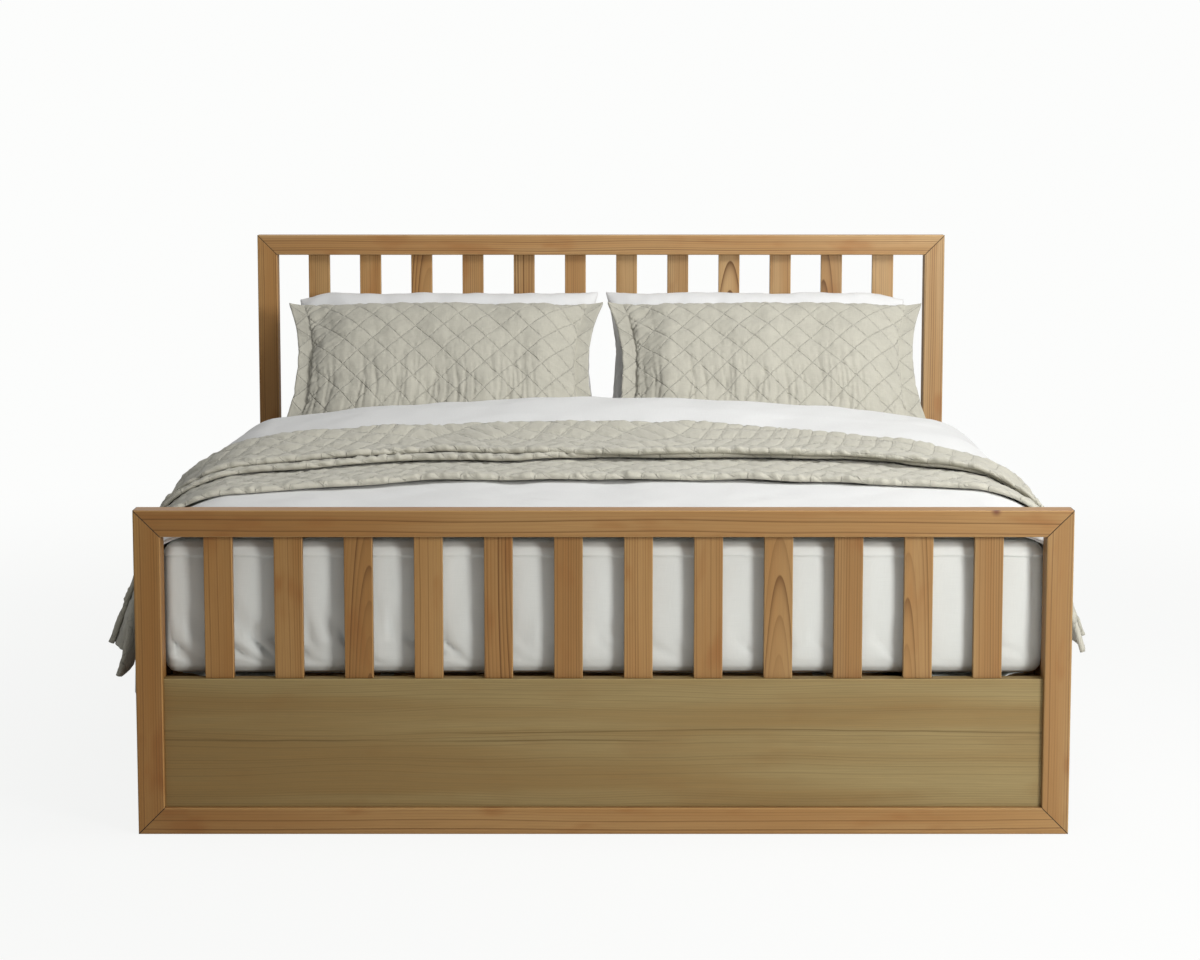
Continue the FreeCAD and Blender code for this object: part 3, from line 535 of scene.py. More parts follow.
def cotton_material(name, groups, colour, thread, crumple=0.0010):
    """White bed linen: fine weave, slubs, and soft crumples too small to model."""
    material, shader, net = new_material(name, 0.82, sheen=0.15)
    place = net.coordinates("cloth")
    weave = net.group(groups["weave"], Place=place, Thread=thread)
    soft = net.noise(place, 9.0, 3.0, 0.5)
    tint = net.mix(net.step(weave["Slub"], 0.35, 0.65), rgb(colour), tinted(colour, 0.955))
    net.put(shader.inputs["Base Color"], tint)
    fine = net.bump(weave["Height"], 0.00010, 0.35)
    net.put(shader.inputs["Normal"], net.bump(soft, crumple * 8, 0.35, fine))
    return material


def quilted_material(name, groups, colour, wide, tall):
    """Washed linen, stitched in diamonds that pucker along every line."""
    material, shader, net = new_material(name, 0.86, sheen=0.2)
    place = net.coordinates("cloth")
    weave = net.group(groups["weave"], Place=place, Thread=0.0011)
    quilt = net.group(groups["quilt"], Place=place, Wide=wide, Tall=tall)
    slub = net.step(weave["Slub"], 0.34, 0.66)
    tint = net.mix(slub, rgb(colour), tinted(colour, 0.87))
    fade = net.step(net.noise(place, 14.0, 2.0), 0.35, 0.7, 0.0, 0.3)
    tint = net.mix(fade, tint, tinted(colour, 1.12))
    # Painted shade: the cloth is darkened along the stitched lines, where it dips between the diamonds
    tint = net.mix(net.times(quilt["Line"], 0.38), tint, tinted(colour, 0.50))
    tint = net.mix(net.times(quilt["Thread"], 0.6), tint, tinted(colour, 1.1))
    net.put(shader.inputs["Base Color"], tint)
    crinkle = net.noise(place, 85.0, 2.0, 0.55)
    gathered = net.times(crinkle, net.plus(quilt["Pucker"], 0.35))
    fine = net.bump(weave["Height"], 0.00016, 0.4)
    seam = net.bump(net.minus(1.0, quilt["Line"]), 0.0025, 0.7, fine)
    net.put(shader.inputs["Normal"], net.bump(gathered, 0.006, 0.55, seam))
    return material


def thread_material(look):
    """Twisted sewing thread, a little paler than the linen."""
    made = bpy.data.materials.get("Stitch thread")
    if made:
        return made
    material, shader, net = new_material("Stitch thread", 0.7, sheen=0.1)
    twist = net.noise(net.coordinates("Object"), 1500.0, 1.0)
    net.put(shader.inputs["Base Color"], net.mix(twist, tinted(look.linen, 0.8), tinted(look.linen, 1.15)))
    return material


def stitch_tree():
    """Short rounded stitches, evenly spaced along every line of a mesh of edges."""
    tree = bpy.data.node_groups.get("Stitches")
    if tree:
        return tree
    tree = bpy.data.node_groups.new("Stitches", "GeometryNodeTree")
    for label, kind, value in (("Geometry", "Geometry", None), ("Spacing", "Float", 0.0062),
                               ("Length", "Float", 0.0045), ("Thickness", "Float", 0.0011),
                               ("Seed", "Int", 1), ("Material", "Material", None)):
        socket = tree.interface.new_socket(name=label, in_out="INPUT", socket_type="NodeSocket" + kind)
        if value is not None:
            socket.default_value = value
    tree.interface.new_socket(name="Geometry", in_out="OUTPUT", socket_type="NodeSocketGeometry")
    start, curve, points, ball, size, shape, vary, place, real, paint, end = (
        tree.nodes.new(kind) for kind in (
            "NodeGroupInput", "GeometryNodeMeshToCurve", "GeometryNodeCurveToPoints",
            "GeometryNodeMeshIcoSphere", "ShaderNodeCombineXYZ", "GeometryNodeTransform",
            "FunctionNodeRandomValue", "GeometryNodeInstanceOnPoints", "GeometryNodeRealizeInstances",
            "GeometryNodeSetMaterial", "NodeGroupOutput"))
    points.mode = "LENGTH"
    vary.data_type = "FLOAT"
    vary.inputs[2].default_value, vary.inputs[3].default_value = 0.85, 1.10
    ball.inputs["Radius"].default_value = 0.5
    ball.inputs["Subdivisions"].default_value = 1
    given = start.outputs
    for source, target in (
            (given["Geometry"], curve.inputs[0]),
            (curve.outputs[0], points.inputs[0]),
            (given["Spacing"], points.inputs["Length"]),
            (given["Thickness"], size.inputs[0]),
            (given["Thickness"], size.inputs[1]),
            (given["Length"], size.inputs[2]),
            (ball.outputs["Mesh"], shape.inputs["Geometry"]),
            (size.outputs[0], shape.inputs["Scale"]),
            (given["Seed"], vary.inputs["Seed"]),
            (points.outputs["Points"], place.inputs["Points"]),
            (shape.outputs[0], place.inputs["Instance"]),
            (points.outputs["Rotation"], place.inputs["Rotation"]),
            (vary.outputs[1], place.inputs["Scale"]),
            (place.outputs[0], real.inputs[0]),
            (real.outputs[0], paint.inputs["Geometry"]),
            (given["Material"], paint.inputs["Material"]),
            (paint.outputs[0], end.inputs[0])):
        tree.links.new(source, target)
    return tree


def stitched(name, lines, material, seed):
    """A plain mesh of stitches along lines of points."""
    points, edges = [], []
    for line in lines:
        edges += [(len(points) + index, len(points) + index + 1) for index in range(len(line) - 1)]
        points += [tuple(point) for point in line]
    mesh = bpy.data.meshes.new(name)
    mesh.from_pydata(points, edges, [])
    piece = bpy.data.objects.new(name, mesh)
    bpy.context.scene.collection.objects.link(piece)
    tree = stitch_tree()
    modifier = piece.modifiers.new("Stitches", "NODES")
    modifier.node_group = tree
    keys = {item.name: item.identifier for item in tree.interface.items_tree if item.in_out == "INPUT"}
    modifier[keys["Seed"]] = seed
    modifier[keys["Material"]] = material
    plain_copy(piece)
    return piece


# ---- Plain fittings ----

def steel_material():
    """Zinc-plated steel, cloudy and a little uneven in its gloss."""
    material, shader, net = new_material("Zinc plated steel", 0.38, metallic=1.0)
    point = net.coordinates("Object")
    cloud = net.noise(point, 160.0, 3.0)
    net.put(shader.inputs["Base Color"], net.mix(cloud, rgb((0.46, 0.47, 0.49)), rgb((0.66, 0.67, 0.68))))
    net.put(shader.inputs["Roughness"], net.step(cloud, 0.2, 0.8, 0.3, 0.5))
    return material


def webbing_material():
    """Woven tape, ribbed across and threaded along."""
    material, shader, net = new_material("Woven tape", 0.9, sheen=0.1)
    x, y, _ = net.split(net.coordinates("Object"))
    ribs = net.math("PINGPONG", net.math("DIVIDE", y, 0.003), 0.5)
    threads = net.math("PINGPONG", net.math("DIVIDE", x, 0.002), 0.5)
    height = net.plus(ribs, threads)
    net.put(shader.inputs["Base Color"], net.mix(height, rgb((0.45, 0.44, 0.40)), rgb((0.74, 0.72, 0.67))))
    net.put(shader.inputs["Normal"], net.bump(height, 0.0004, 0.6))
    return material


def foot_material():
    """Black moulded plastic with a fine grain."""
    material, shader, net = new_material("Moulded foot", 0.55)
    grain = net.noise(net.coordinates("Object"), 900.0, 2.0)
    tint = net.mix(grain, rgb((0.025, 0.025, 0.027)), rgb((0.06, 0.06, 0.062)))
    net.put(shader.inputs["Base Color"], tint)
    net.put(shader.inputs["Normal"], net.bump(grain, 0.0002, 0.4))
    return material


def shared_groups():
    """The node groups that several materials use, made once."""
    made = {"grain": ("Pine grain", wood_grain_group), "mitre": ("Mitre line", mitre_group),
            "knot": ("Knot", knot_group), "weave": ("Plain weave", weave_group),
            "quilt": ("Diamond quilting", quilt_group)}
    groups = {}
    for key, (name, build) in made.items():
        groups[key] = bpy.data.node_groups.get(name) or build()
    return groups


# ---- Bedding shapes ----

def cover_top(distance):
    """Height of the coverlet on the centre line: low at the foot, plump before the shams."""
    rise = FOOT_RISE * smooth(distance, COVER_ENDS[0], 0.25) + MIDDLE_RISE * smooth(distance, 0.25, 1.0)
    plump = COVER_SWELL * smooth(distance, *SWELL_RISES)
    sunk = (FOOT_RISE + MIDDLE_RISE + COVER_SWELL) * smooth(distance, *SWELL_FALLS)
    return COVER_FOOT + rise + plump - sunk


def cover_edge(distance):
    """Height of the coverlet where its top begins to turn down."""
    swell = cover_top(distance) - COVER_FOOT
    return cover_top(distance) - EDGE_DROP * (0.05 + 2.0 * swell / COVER_SWELL)


def cover_half(distance, side):
    """Half width over the coverlet's hanging side, in and out with its folds."""
    start, end = COVER_ENDS
    spread, fold_depth, taper_length = 0.029, 0.013, 0.16
    turn = 2 * math.pi * SIDE_FOLDS * (distance - start) / (end - start)
    taper = smooth(distance, start, start + taper_length) * smooth(end - distance, 0, taper_length)
    return COVER_SIDE + (spread + fold_depth * np.cos(turn + side)) * taper


def cover_point(share, distance, hem):
    """Outside of the coverlet, or of what lies on it: across and up, its drop and its turn, 0 to 1."""
    side = np.where(share < 0, -1.0, 1.0)
    run = np.abs(share)
    lead = SHOULDER_LEAD * smooth(run, 0.25, 0.60) * smooth(SWELL_RISES[1] - distance, 0.0, 0.3)
    top, edge, half = cover_top(distance + lead), cover_edge(distance + lead), cover_half(distance, side)
    x = np.clip(run / CREST_SHARE, 0, 1) * COVER_CREST
    z = top + (edge - top) * (x / SHOULDER_START) ** 2
    turn = np.clip((run - CREST_SHARE) / (TURN_SHARE - CREST_SHARE), 0, 1)
    sine, cosine = np.sin(turn * math.pi / 2), np.cos(turn * math.pi / 2)
    x = x + (half - 0.004 - COVER_CREST) * sine ** SHOULDER_POWER
    z = np.where(turn > 0, SHOULDER_END + (z - SHOULDER_END) * cosine ** SHOULDER_POWER, z)
    drop = np.clip((run - TURN_SHARE) / (1 - TURN_SHARE), 0, 1)
    x = x + SIDE_LEAN * drop
    z = z - (SHOULDER_END - hem) * drop
    return side * x, z, drop, turn


def mattress_profile():
    """(inset, height) round the mattress's edge, from its top to its underside."""
    knots = np.array([
        (0.300, 0.6400), (0.080, 0.6398), (0.040, 0.6385), (0.020, 0.6340), (0.008, 0.6240),
        (0.002, 0.6120), (0.0005, 0.6070), (0.003, 0.6040), (0.001, 0.5850), (0.0, 0.5300),
        (0.0, 0.4200), (0.001, 0.3800), (0.005, 0.3600), (0.013, 0.3490), (0.028, 0.3430),
        (0.056, 0.3400), (0.072, 0.3360), (0.085, 0.3274), (0.300, 0.3270)])
    places = np.linspace(0, 1, len(knots))
    fine = np.linspace(0, 1, 73)
    return np.stack([np.interp(fine, places, knots[:, 0]), np.interp(fine, places, knots[:, 1])], 1)


def rounded_plan(half_x, half_y, radius, step):
    """Points and outward normals round a rectangle with rounded corners, counter-clockwise."""
    points, normals = [], []
    for corner in range(4):
        turn = corner * math.pi / 2
        sign_x, sign_y = (1, 1, -1, -1)[corner], (-1, 1, 1, -1)[corner]
        centre = np.array([sign_x * (half_x - radius), sign_y * (half_y - radius)])
        for angle in np.linspace(turn - math.pi / 2, turn, 10):
            normal = np.array([math.cos(angle), math.sin(angle)])
            points.append(centre + normal * radius)
            normals.append(normal)
        length = 2 * ((half_y if corner % 2 == 0 else half_x) - radius)
        heading = np.array([-math.sin(turn), math.cos(turn)])
        normal = np.array([math.cos(turn), math.sin(turn)])
        first = points[-1]
        for share in np.arange(step, length - step / 2, step):
            points.append(first + heading * share)
            normals.append(normal)
    return np.array(points), np.array(normals)


def make_mattress():
    """The mattress in its fitted sheet: soft rim, seam, and pulls towards the corners."""
    buckle_depth, pull_depth, foot_pull_depth = 0.0045, 0.006, 0.012
    profile = mattress_profile()
    plan, normals = rounded_plan(*MATTRESS_HALF, MATTRESS_CORNER, MATTRESS_STEP)
    inset, height = profile[:, 0][:, None], profile[:, 1][:, None]
    x = plan[None, :, 0] - normals[None, :, 0] * inset
    y = plan[None, :, 1] - normals[None, :, 1] * inset
    z = np.broadcast_to(height, x.shape).copy()
    around = run_lengths(np.stack([x, y, z], 2), 1)
    face = smooth(z, 0.36, 0.40) * smooth(0.63 - z, 0.0, 0.03)
    buckle = ripples(around, z, 0.26, 11, 3, (1.0, 3.2)) * 0.5 + 0.5
    low = smooth(0.52 - z, 0.0, 0.12)
    pull = creases(around + z * 1.3, z - around * 0.25, 0.20, 5, (1.0, 3.0)) * low
    foot_left = smooth(-x, 0.15, 0.5) * smooth(-y, 0.9, 1.0)
    dent = (buckle_depth * buckle + (pull_depth + foot_pull_depth * foot_left) * pull) * face
    dent = dent * (1 - smooth(np.abs(x), 0.93, 0.96) * smooth(np.abs(y), 0.80, 0.97))
    x = x - normals[None, :, 0] * dent
    y = y - normals[None, :, 1] * dent
    rows, columns = x.shape
    points = np.stack([x, y, z], 2).reshape(-1, 3)
    index = np.arange(rows * columns).reshape(rows, columns)
    after = np.roll(index, -1, axis=1)
    faces = np.stack([index[:-1], index[1:], after[1:], after[:-1]], -1).reshape(-1, 4).tolist()
    faces += [index[0].tolist(), index[-1][::-1].tolist()]
    cloth = np.stack([around, z], 2).reshape(-1, 2)
    return mesh_object("mattress_in_sheet", points, faces, cloth)


def make_coverlet(thick):
    """The white coverlet: one sheet over the mattress, hanging outside the rails."""
    rows, columns = 150, 240
    wave_height, ridge_height, side_wave = 0.0030, 0.0030, 0.004
    share = np.linspace(-1, 1, columns)[None, :] * np.ones((rows, 1))
    distance = np.linspace(COVER_ENDS[0] + 0.002, COVER_ENDS[1], rows)[:, None] * np.ones((1, columns))
    x, z, drop, turn = cover_point(share, distance, COVER_HEM)
    points = np.stack([x, FOOT_FRONT + distance, z], 2)
    normal = outward(points)
    normal *= np.sign(normal[rows // 2, columns // 2, 2])
    before_shams = smooth(1.50 - distance, 0, 0.1)
    lift = wave_height * ripples(x, distance, 0.42, 3, 3) * (1 - turn)
    lift = lift * smooth(distance, 0.10, 0.2) * before_shams
    ridge = creases(x + 0.4 * distance, distance - 0.2 * x, 0.36, 8, (2.6, 1.0))
    lift += ridge_height * ridge * smooth(distance, 1.05, 1.25) * before_shams
    lift += side_wave * ripples(distance, z, 0.30, 21, 2, (1.0, 3.0)) * drop
    taper = smooth(distance, 0.06, 0.2) * smooth(COVER_ENDS[1] - distance, 0, 0.15)
    points = points + normal * (lift * taper)[:, :, None]
    cloth = np.stack([run_lengths(points, 1), run_lengths(points, 0)], 2)
    return slab("coverlet_cloth", points, points - normal * thick, cloth)


def throw_base(share, distance, along):
    """Where the throw's underside lies: across and up, which way is out, and its drop, 0 to 1."""
    side = np.where(share < 0, -1.0, 1.0)
    hem = np.where(share < 0, 0.250 + 0.036 * along, 0.286 + 0.024 * along)
    x, z, drop, turn = cover_point(share, distance, hem)
    left_flare = 0.056 + 0.038 * along + 0.018 * smooth(along, 0.38, 0.50)
    right_flare = 0.068 - 0.006 * along
    away = 0.003 * turn + np.where(share < 0, left_flare, right_flare) * drop ** 1.2
    tilt = np.radians(4 * (1 - turn) * np.abs(share) + 78 * turn - 6 * drop)
    return x + side * away, z, side * np.sin(tilt), np.cos(tilt), drop


def throw_rows():
    """The throw's rows from one hem to the other, as it winds through three stacked bands.

    Each row holds its band, its share of the way from that band's front fold to the back, how far it
    is pushed beyond that, its height, and the direction that it faces, forward and up.
    """
    rows = []
    hem_share = 0.985
    finely_shown = (0.29, 0.11, 0.26)
    for band in range(3):
        gape = THROW_GAPE if band else 0.0
        depth = THROW_WIDTH if band == 0 else THROW_WIDTH * (1 - THROW_STEP)
        low, high = (2 * band + 0.5) * THROW_LAYER, (2 * band + 1.5) * THROW_LAYER
        for share in (hem_share if band == 0 else 1.0, 0.75, 0.5, 0.3, 0.18, 0.10, 0.05, 0.02):
            rows.append((band, share, 0.0, low + gape * math.exp(-share * depth / 0.030), 0.0, -1.0))
        half = (THROW_LAYER + THROW_BULGE) / 2
        for angle in np.linspace(-math.pi / 2, math.pi / 2, 7, endpoint=False):
            out, up = math.cos(angle), math.sin(angle)
            rows.append((band, 0.0, -half * out, low + gape + half + half * up, -out, up))
        end = (hem_share if band == 2 else 1.0) * depth
        near = min(finely_shown[band], end)
        places = list(np.arange(0, near, 0.0083)) + list(np.linspace(near, end, 3))
        for place in places[:None if band == 2 else -1]:
            swell = (THROW_BULGE + gape) * math.exp(-place / 0.045)
            rows.append((band, place / depth, 0.0, high + swell, 0.0, 1.0))
        if band == 2:
            break
        half = THROW_LAYER / 2
        for angle in np.linspace(-math.pi / 2, math.pi / 2, 5, endpoint=False):
            out, up = math.cos(angle), math.sin(angle)
            rows.append((band, 1.0, half * out, high + half * (1 + up), -out, -up))
    return np.array(rows)


def throw_folds(share):
    """How far back the three bands' front folds and the throw's back edge lie."""
    first_wave, second_wave, third_wave = 0.007, 0.010, 0.022
    left_widening, overhang, left_drift = 0.030, 0.02, 0.062
    hung = smooth(np.abs(share), 0.18, 0.80)
    first, back = (middle + (np.where(share < 0, left, right) - middle) * hung
                   for middle, left, right in zip(THROW_MIDDLE, THROW_LEFT, THROW_RIGHT))
    first = first + first_wave * ripples(share, share * 0, 0.24, 31, 2)
    third = first + (back - first) * THROW_STEP + third_wave * ripples(share, share * 0, 0.8, 33, 2)
    third = third + left_widening * smooth(-share, 0.1, 0.5)
    second = third + overhang - left_drift * smooth(-share, -0.05, 0.22)
    second = second + second_wave * ripples(share, share * 0, 0.3, 35, 2)
    return first, second, third, back


def throw_loft(share, distance, place, height, drop):
    """How far each layer lies off the coverlet: its place in the stack, waves, and pleats at the ends."""
    air, top_wave, pleat, rumple = 0.004, 0.0015, 0.006, 0.0030
    ends = smooth(np.abs(share), 0.70, 0.88)
    waves = 0.6 * np.cos(2 * math.pi * (2.6 * place + 0.25 * np.sign(share)) + 0.8 * share)
    waves = waves + 0.4 * np.cos(2 * math.pi * (4.3 * place + 0.9 * share) + 1.0)
    swing = (top_wave + pleat * ends * (1 - 0.7 * drop)) * waves
    swing = swing + rumple * ripples(share * 1.45, distance, 0.16, 41, 2, (2.0, 1.0)) * (1 - drop)
    thin = 1 - 0.35 * smooth(np.abs(share), 0.50, 0.72) * (1 - 0.5 * drop)
    stack = 0.6 + 0.4 * height / (6 * THROW_LAYER)
    return air + height * thin + np.maximum(swing + 0.005 * ends + 0.002, 0.0) * stack


def puffs(u, v, wide, tall):
    """Height of quilted diamonds: 0 on the stitched lines, rising steeply beside them."""
    first = np.abs((u / wide + v / tall + 0.5) % 1.0 - 0.5)
    second = np.abs((u / wide - v / tall + 0.5) % 1.0 - 0.5)
    reach = np.minimum(first, second) * wide * tall / math.hypot(wide, tall)
    steep = 1 - np.exp(-reach / 0.005)
    broad = np.sqrt(np.sin(math.pi * first) * np.sin(math.pi * second))
    return 0.6 * steep + 0.4 * broad


def throw_relief(u, v, band, from_fold, drop, look):
    """How far the quilting, creases and gathers stand up from the throw's top face."""
    gather_height, crease_depth, crumple = 0.0026, 0.0048, 0.0013
    pucker = creases(u, u * 0 + band, 0.10, 43) * np.exp(-(from_fold / 0.030) ** 2)
    slanted = creases(u + 0.5 * from_fold, v, 0.11, 45, (1.0, 2.5)) * np.exp(-from_fold / 0.06)
    gather = ripples(u, v, 0.021, 47, 2, (1.0, 4.0)) * np.exp(-from_fold / 0.07)
    gather = gather * smooth(ripples(u, v * 0, 0.5, 49, 2), -0.3, 0.5)
    quilting = puffs(u, v, look.quilt_wide, look.quilt_tall) * look.puff * (0.72 - 0.45 * drop)
    creased = (1 - 0.8 * drop) * (gather_height * gather - crease_depth * (pucker + 0.6 * slanted))
    return quilting + creased + crumple * ripples(u, v, 0.030, 51, 2) * (1 - 0.5 * drop)


def make_throw(look):
    """A quilt folded lengthwise into stepped bands, laid across the bed with pleated ends.

    Returns the throw and the lines that the stitches of its two hems follow.
    """
    columns, half_cloth, thread_lift, nowhere = 390, 0.0020, 0.0004, 9.0
    rows = throw_rows()
    share = np.linspace(-1, 1, columns)[None, :] * np.ones((len(rows), 1))
    band, along, push, height, out_d, out_h = (
        rows[:, [index]] * np.ones((1, columns)) for index in range(6))
    first, second, third, back = throw_folds(share)
    front = np.where(band < 0.5, first, np.where(band < 1.5, second, third))
    distance = front + (back - front) * along + push
    place = (distance - first) / (back - first)
    x, z, out_x, out_z, drop = throw_base(share, distance, np.clip(place, 0, 1))
    loft = throw_loft(share, distance, place, height, drop)
    middle = np.stack([x + out_x * loft, FOOT_FRONT + distance, z + out_z * loft], 2)
    lean = np.stack([out_x * out_h, out_d, out_z * out_h], 2)
    lean = lean / np.maximum(np.linalg.norm(lean, axis=2, keepdims=True), 1e-9)
    cloth = np.stack([run_lengths(middle, 1) - 1.45, run_lengths(middle, 0)], 2)
    relief = throw_relief(cloth[:, :, 0], cloth[:, :, 1], band, (back - front) * along, drop, look)
    covered_from = np.where(band < 0.5, second, np.where(band < 1.5, third, nowhere))
    bare = (out_h > -0.5) * (1 - smooth(distance - covered_from, -0.004, 0.016))
    outer = middle + lean * (half_cloth + relief * bare)[:, :, None]
    inner = middle - lean * half_cloth
    lines = []
    for number in range(3):
        top = (rows[:, 0] == number) & (rows[:, 5] > 0.9)
        clear = (distance < covered_from - 0.004)[top]
        for column in (2, columns - 3):
            lines.append((outer + lean * thread_lift)[top, column][clear[:, column]])
    return slab("folded_throw", outer[:, ::-1], inner[:, ::-1], cloth[:, ::-1]), lines


# ---- Pillows and shams ----

def sewn_cover(width, height, step):
    """Two flat cloths joined round their edges: points, faces and places on the cloth."""
    columns, rows = round(width / step) + 1, round(height / step) + 1
    xs, zs = np.linspace(-width / 2, width / 2, columns), np.linspace(0, height, rows)
    grid_x, grid_z = np.meshgrid(xs, zs)
    count = rows * columns
    front = np.arange(count).reshape(rows, columns)
    back = front.copy()
    inside = np.zeros((rows, columns), bool)
    inside[1:-1, 1:-1] = True
    back[inside] = count + np.arange(inside.sum())
    swell = 0.012 * np.sin(math.pi * (grid_x / width + 0.5)) * np.sin(math.pi * grid_z / height)
    points = np.concatenate([
        np.stack([grid_x, -swell, grid_z], 2).reshape(-1, 3),
        np.stack([grid_x, swell, grid_z], 2)[inside]])
    places = np.stack([grid_x, grid_z], 2)
    cloth = np.concatenate([places.reshape(-1, 2), places[inside]])
    faces = []
    for sheet, turn in ((front, 1), (back, -1)):
        quads = np.stack([sheet[:-1, :-1], sheet[:-1, 1:], sheet[1:, 1:], sheet[1:, :-1]], -1)
        faces.append(quads.reshape(-1, 4)[:, ::turn])
    return points, np.concatenate(faces).tolist(), cloth


def blown_up(piece, thickness, look):
    """Run Blender's cloth on a sewn cover with air in it until it is as thick as asked."""
    scene = bpy.context.scene
    cloth = piece.modifiers.new("Filling", "CLOTH")
    values = cloth.settings
    values.quality = 5
    values.mass = 0.3
    values.tension_stiffness = 15
    values.compression_stiffness = 5
    values.shear_stiffness = 5
    values.bending_stiffness = 0.15
    values.air_damping = 2.0
    values.shrink_min = -look.slack
    values.use_pressure = True
    values.uniform_pressure_force = look.pressure
    values.effector_weights.gravity = 0
    cloth.collision_settings.use_collision = False
    cloth.point_cache.frame_start = 1
    cloth.point_cache.frame_end = look.fill_frames
    points = None
    for number in range(1, look.fill_frames + 1):
        scene.frame_set(number)
        shown = piece.evaluated_get(bpy.context.evaluated_depsgraph_get())
        shape = shown.to_mesh()
        places = np.zeros(len(shape.vertices) * 3, np.float32)
        shape.vertices.foreach_get("co", places)
        shown.to_mesh_clear()
        points = places.reshape(-1, 3).astype(float)
        if np.ptp(points[:, 1]) >= thickness:
            break
    piece.modifiers.remove(cloth)
    scene.frame_set(1)
    return points


def filled_cover(name, width, height, spec, look, step):
    """A sewn cover with its filling.

    Returns the piece, its points about their middle, its faces, its points' places on the cloth, and
    how far each lies from the cloth's edge.
    """
    spare = COVER_SPARE
    wide, tall = width * spare, height * spare * 1.02
    points, faces, cloth = sewn_cover(wide, tall, step)
    piece = mesh_object(name, points, faces, cloth)
    filled = blown_up(piece, 2 * spec["crown"], look)
    low, high = filled.min(0), filled.max(0)
    filled -= (low + high) / 2
    filled *= np.array([width, 2 * spec["crown"], height]) / (high - low)
    edge = np.minimum(cloth[:, 1] - cloth[:, 1].min(), cloth[:, 1].max() - cloth[:, 1])
    edge = np.minimum(edge, wide / 2 - np.abs(cloth[:, 0]))
    return piece, filled, faces, cloth, edge


def make_cushion(name, spec, look, seed, quilted, side):
    """A soft, sewn cushion leaning back on the bed, with pointed corners and drawn-in sides.

    Returns the cushion and the lines that the stitches of its seams follow, if it has any.
    """
    width, height = spec["size"]
    wobble_height, crown_rise, fuller_below = 0.0045, 0.010, 0.10
    flange, step = (FLANGE, SHAM_STEP) if quilted else (0.0, PILLOW_STEP)
    body_width = width - 2 * flange
    piece, shaped, faces, cloth, edge = filled_cover(name, body_width, height, spec, look, step)
    share_x = shaped[:, 0] / (body_width / 2)
    share_z = shaped[:, 2] / (height / 2)
    shaped[:, 0] *= 1 - spec["drawn"] * (1 - np.abs(share_z) ** 2.2)
    thinned = 1 - spec["tapered"] * smooth(np.abs(share_x), 0.66, 1.0)
    shaped[:, 1] *= (1.0 - fuller_below * share_z) * thinned
    shaped[:, 2] += crown_rise * share_z * (1 - share_x ** 2)
    shaped[:, 2] -= spec["slump"] * smooth(share_x * side, 0.78, 1.02) * smooth(share_z, 0.0, 1.0)
    shaped[:, 2] += height / 2
    normals = vertex_normals(shaped, np.array(faces))
    wobble = wobble_height * ripples(cloth[:, 0] + 9 * (shaped[:, 1] > 0), cloth[:, 1], 0.24, seed, 3)
    set_points(piece, shaped + normals * (wobble * smooth(edge, 0.0, 0.05))[:, None])
    subdivide(piece, 1)
    lines = []
    if quilted:
        add_quilting(piece, look)
        lines = add_flanges(piece, flange, height)
    set_points(piece, leaned_back(get_points(piece), spec, side))
    return piece, [leaned_back(line, spec, side) for line in lines]


def vertex_normals(points, faces):
    """Outward unit normals at the points of a mesh of four-sided faces."""
    corner = [points[faces[:, index]] for index in range(4)]
    face = np.cross(corner[2] - corner[0], corner[3] - corner[1])
    total = np.zeros_like(points)
    for index in range(4):
        np.add.at(total, faces[:, index], face)
    return total / np.maximum(np.linalg.norm(total, axis=1, keepdims=True), 1e-12)


def set_points(piece, points):
    """Move a piece's vertices to the points."""
    piece.data.vertices.foreach_set("co", np.asarray(points, np.float32).ravel())
    piece.data.update()


def get_points(piece):
    """Where a piece's vertices are."""
    points = np.zeros(len(piece.data.vertices) * 3, np.float32)
    piece.data.vertices.foreach_get("co", points)
    return points.reshape(-1, 3).astype(float)


def plain_copy(piece):
    """Replace a piece's mesh by the mesh that its modifiers make, and drop them."""
    graph = bpy.context.evaluated_depsgraph_get()
    mesh = bpy.data.meshes.new_from_object(piece.evaluated_get(graph))
    piece.modifiers.clear()
    piece.data = mesh


def subdivide(piece, levels):
    """Make a piece's mesh finer and rounder."""
    modifier = piece.modifiers.new("Rounder", "SUBSURF")
    modifier.levels = modifier.render_levels = levels
    plain_copy(piece)


def vertex_cloth(piece):
    """Each vertex's place on the flat cloth."""
    mesh = piece.data
    corners = np.zeros(len(mesh.loops), np.int32)
    mesh.loops.foreach_get("vertex_index", corners)
    places = np.zeros(len(mesh.loops) * 2, np.float32)
    mesh.uv_layers["cloth"].data.foreach_get("uv", places)
    found = np.zeros((len(mesh.vertices), 2))
    found[corners] = places.reshape(-1, 2)
    return found


def add_quilting(piece, look):
    """Raise the diamonds between the stitched lines, and draw the cloth in below and towards the seams."""
    gather_depth, seam_depth = 0.0070, 0.0080
    mesh = piece.data
    normals = np.zeros(len(mesh.vertices) * 3, np.float32)
    mesh.vertices.foreach_get("normal", normals)
    u, v = vertex_cloth(piece).T
    from_seam = np.abs(u).max() - np.abs(u)
    relief = puffs(u, v, look.quilt_wide, look.quilt_tall) * look.puff + 0.0008 * ripples(u, v, 0.04, 61, 2)
    gathers = creases(u + 0.004 * np.sin(v * 30), v, 0.050, 63, (1.0, 22.0))
    gathers = gathers * np.exp(-((v - 0.13) / 0.12) ** 2)
    pulls = creases(v - 0.5 * from_seam, u, 0.060, 65, (1.0, 9.0)) * np.exp(-from_seam / 0.09)
    relief = (relief - gather_depth * gathers - seam_depth * pulls) * smooth(from_seam, 0.0, 0.022)
    set_points(piece, get_points(piece) + normals.reshape(-1, 3) * relief[:, None])


def mesh_parts(piece):
    """A piece's points, faces and places on the cloth."""
    return get_points(piece), [tuple(face.vertices) for face in piece.data.polygons], vertex_cloth(piece)


